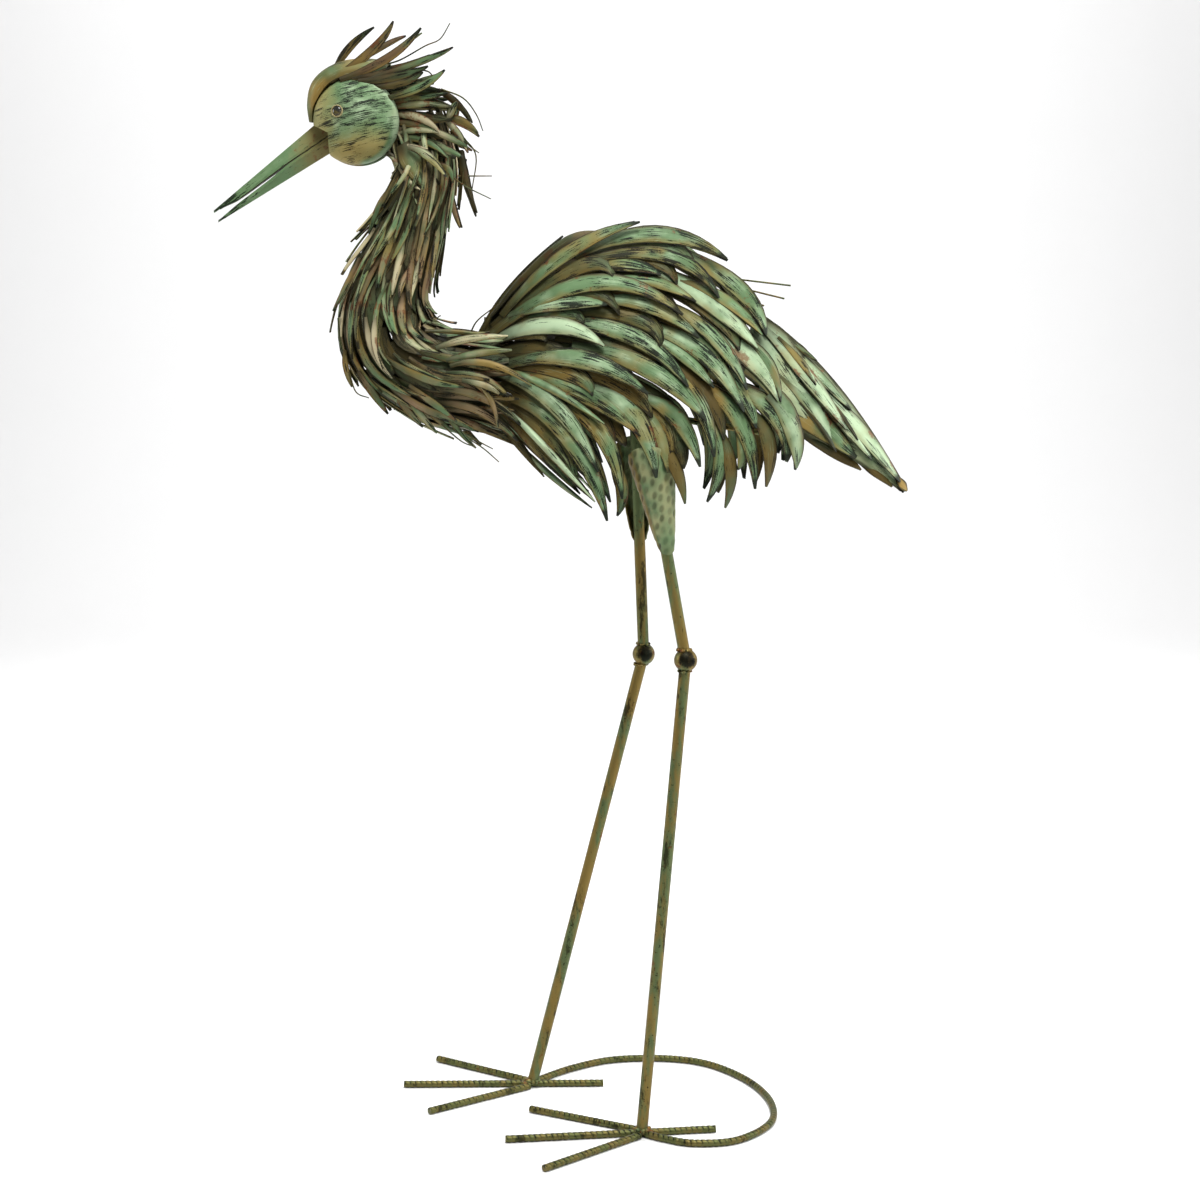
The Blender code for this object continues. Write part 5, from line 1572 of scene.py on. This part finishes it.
def ridge_feather(drawing, start, side, tint):
    """A short feather that lies flat beside the ridge, with its tip over the next root."""

    def place_of(share, across):
        x = start + RIDGE_LENGTH * share
        narrowed = 1.0 - 0.72 * ease((x - 110.0) / 130.0)
        y = side * narrowed * (RIDGE_ASIDE + RIDGE_HALF * blade(share) * across)
        height = station(BODY, x)[0] - RIDGE_UNDER + 3.5 * share - 0.25 * abs(y)
        return Vector((x, y, height))

    add_feather(drawing, 12, 4, place_of, RIDGE_LENGTH, 2.0 * RIDGE_HALF, tint)


drawing = sheet_drawing()
add_feather(drawing, 30, 10, saddle_place, SADDLE_LENGTH, SADDLE_WIDTH, SADDLE_TINT)
for line in BACK_FEATHERS:
    free_feather(drawing, line, 1.0, dice)
for side, ahead in ((1.0, 0.0), (-1.0, FAR_ROW_AHEAD)):
    for start in RIDGE_STARTS:
        ridge_feather(drawing, start - ahead, side,
                      (dice.uniform(0.15, 0.55), 0.6, dice.uniform(0.05, 0.35)))
show("back_feathers", drawing, WING_PATINA, ["back_saddle"], SHEET)

# %% [markdown]
# Thin wires, once there to tie the blades, stick out of the head, the neck and the breast.
# They are bent by hand, so each is a few spots of the picture with one depth.

# %% Stray wires
WIRE_RADIUS = 0.75
STRAY_WIRES = (
    (-8, ((382, 65), (400, 60), (425, 46), (440, 39), (450, 23))),
    (-8, ((441, 89), (463, 98), (476, 114), (483, 131))),
    (-10, ((422, 70), (429, 72), (434, 78))),
    (-10, ((464, 138), (476, 156), (472, 190))),
    (-8, ((458, 176), (475, 176), (492, 176))),
    (-16, ((438, 163), (462, 184), (491, 199))),
    (-10, ((463, 172), (461, 200))),
    (-10, ((462, 138), (471, 147), (479, 153))),
    (-30, ((441, 424), (461, 441), (475, 447))),
    (-28, ((450, 428), (480, 446), (499, 462))),
    (-28, ((455, 427), (478, 441), (493, 449))),
    (-12, ((470, 334), (478, 320), (500, 303))),
    (-12, ((485, 317), (484, 330))),
    (-22, ((349, 372), (356, 392), (369, 398))),
    (-16, ((338, 318), (342, 350), (356, 374))),
    (-20, ((380, 372), (396, 392), (394, 410))),
)
drawing = sheet_drawing()
for depth, spots in STRAY_WIRES:
    stops = [from_picture(x, y, depth) for x, y in spots]
    add_bar(drawing, smooth_route(stops, 6), WIRE_RADIUS, 8, taper=0.6, shade=0.2)
show("stray_wires", drawing, WIRE_PATINA)

# %% [markdown]
# The bird stands on a sheet of pale paper that curves up behind it, so the photo's side
# shows no edge. A wide soft light hangs above it, two more stand at its sides, a weak one
# in front, and one only washes the paper, which leaves the gaps between the feathers dark.

# %% Floor, light and sky
PAPER_FRONT = -4.0
PAPER_BACK = 2.6
PAPER_BEND = 1.2
PAPER_HALF = 6.0
PAPER_STEPS = 64
PAPER_WHITE = (0.80, 0.80, 0.80, 1.0)
floor_drawing = bmesh.new()
bmesh.ops.create_grid(floor_drawing, x_segments=1, y_segments=PAPER_STEPS, size=PAPER_HALF)
for vert in floor_drawing.verts:
    travelled = PAPER_FRONT + (vert.co.y + PAPER_HALF)
    turned = min(max(travelled - PAPER_BACK, 0.0) / PAPER_BEND, math.pi / 2.0)
    risen = max(travelled - PAPER_BACK - PAPER_BEND * math.pi / 2.0, 0.0)
    flat = min(travelled, PAPER_BACK)
    vert.co.y = flat + PAPER_BEND * math.sin(turned)
    vert.co.z = PAPER_BEND * (1.0 - math.cos(turned)) + risen
floor_mesh = bpy.data.meshes.new("floor")
floor_drawing.to_mesh(floor_mesh)
floor_drawing.free()
floor_mesh.shade_smooth()
floor = bpy.data.objects.new("floor", floor_mesh)
bpy.context.scene.collection.objects.link(floor)
paper = Finish("paper", 0.9)
paper.shader.inputs["Base Color"].default_value = PAPER_WHITE
floor_mesh.materials.append(paper.material)


def soft_light(name, place, aim, size, power):
    data = bpy.data.lights.new(name, "AREA")
    data.shape = "DISK"
    data.size = size
    data.energy = power
    lamp = bpy.data.objects.new(name, data)
    lamp.location = place
    lamp.rotation_euler = (Vector(aim) - Vector(place)).to_track_quat("-Z", "Y").to_euler()
    bpy.context.scene.collection.objects.link(lamp)


soft_light("above", (0.2, -0.9, 2.5), (0.1, 0.0, 0.6), 1.0, 64.0)
soft_light("left", (-2.2, 0.1, 1.2), (0.0, 0.0, 0.6), 1.2, 22.0)
soft_light("right", (2.2, 0.3, 1.3), (0.0, 0.0, 0.6), 1.2, 38.0)
soft_light("front", (1.5, -2.0, 1.5), (0.2, 0.0, 0.5), 1.0, 20.0)
soft_light("wash", (0.0, 1.2, 3.2), (0.0, 3.6, 0.4), 2.2, 100.0)

SKY_STRENGTH = 0.10
sky = bpy.data.worlds.new("sky")
sky.use_nodes = True
sky.node_tree.nodes["Background"].inputs["Color"].default_value = (1.0, 1.0, 1.0, 1.0)
sky.node_tree.nodes["Background"].inputs["Strength"].default_value = SKY_STRENGTH
bpy.context.scene.world = sky
bpy.context.scene.view_settings.view_transform = "Standard"
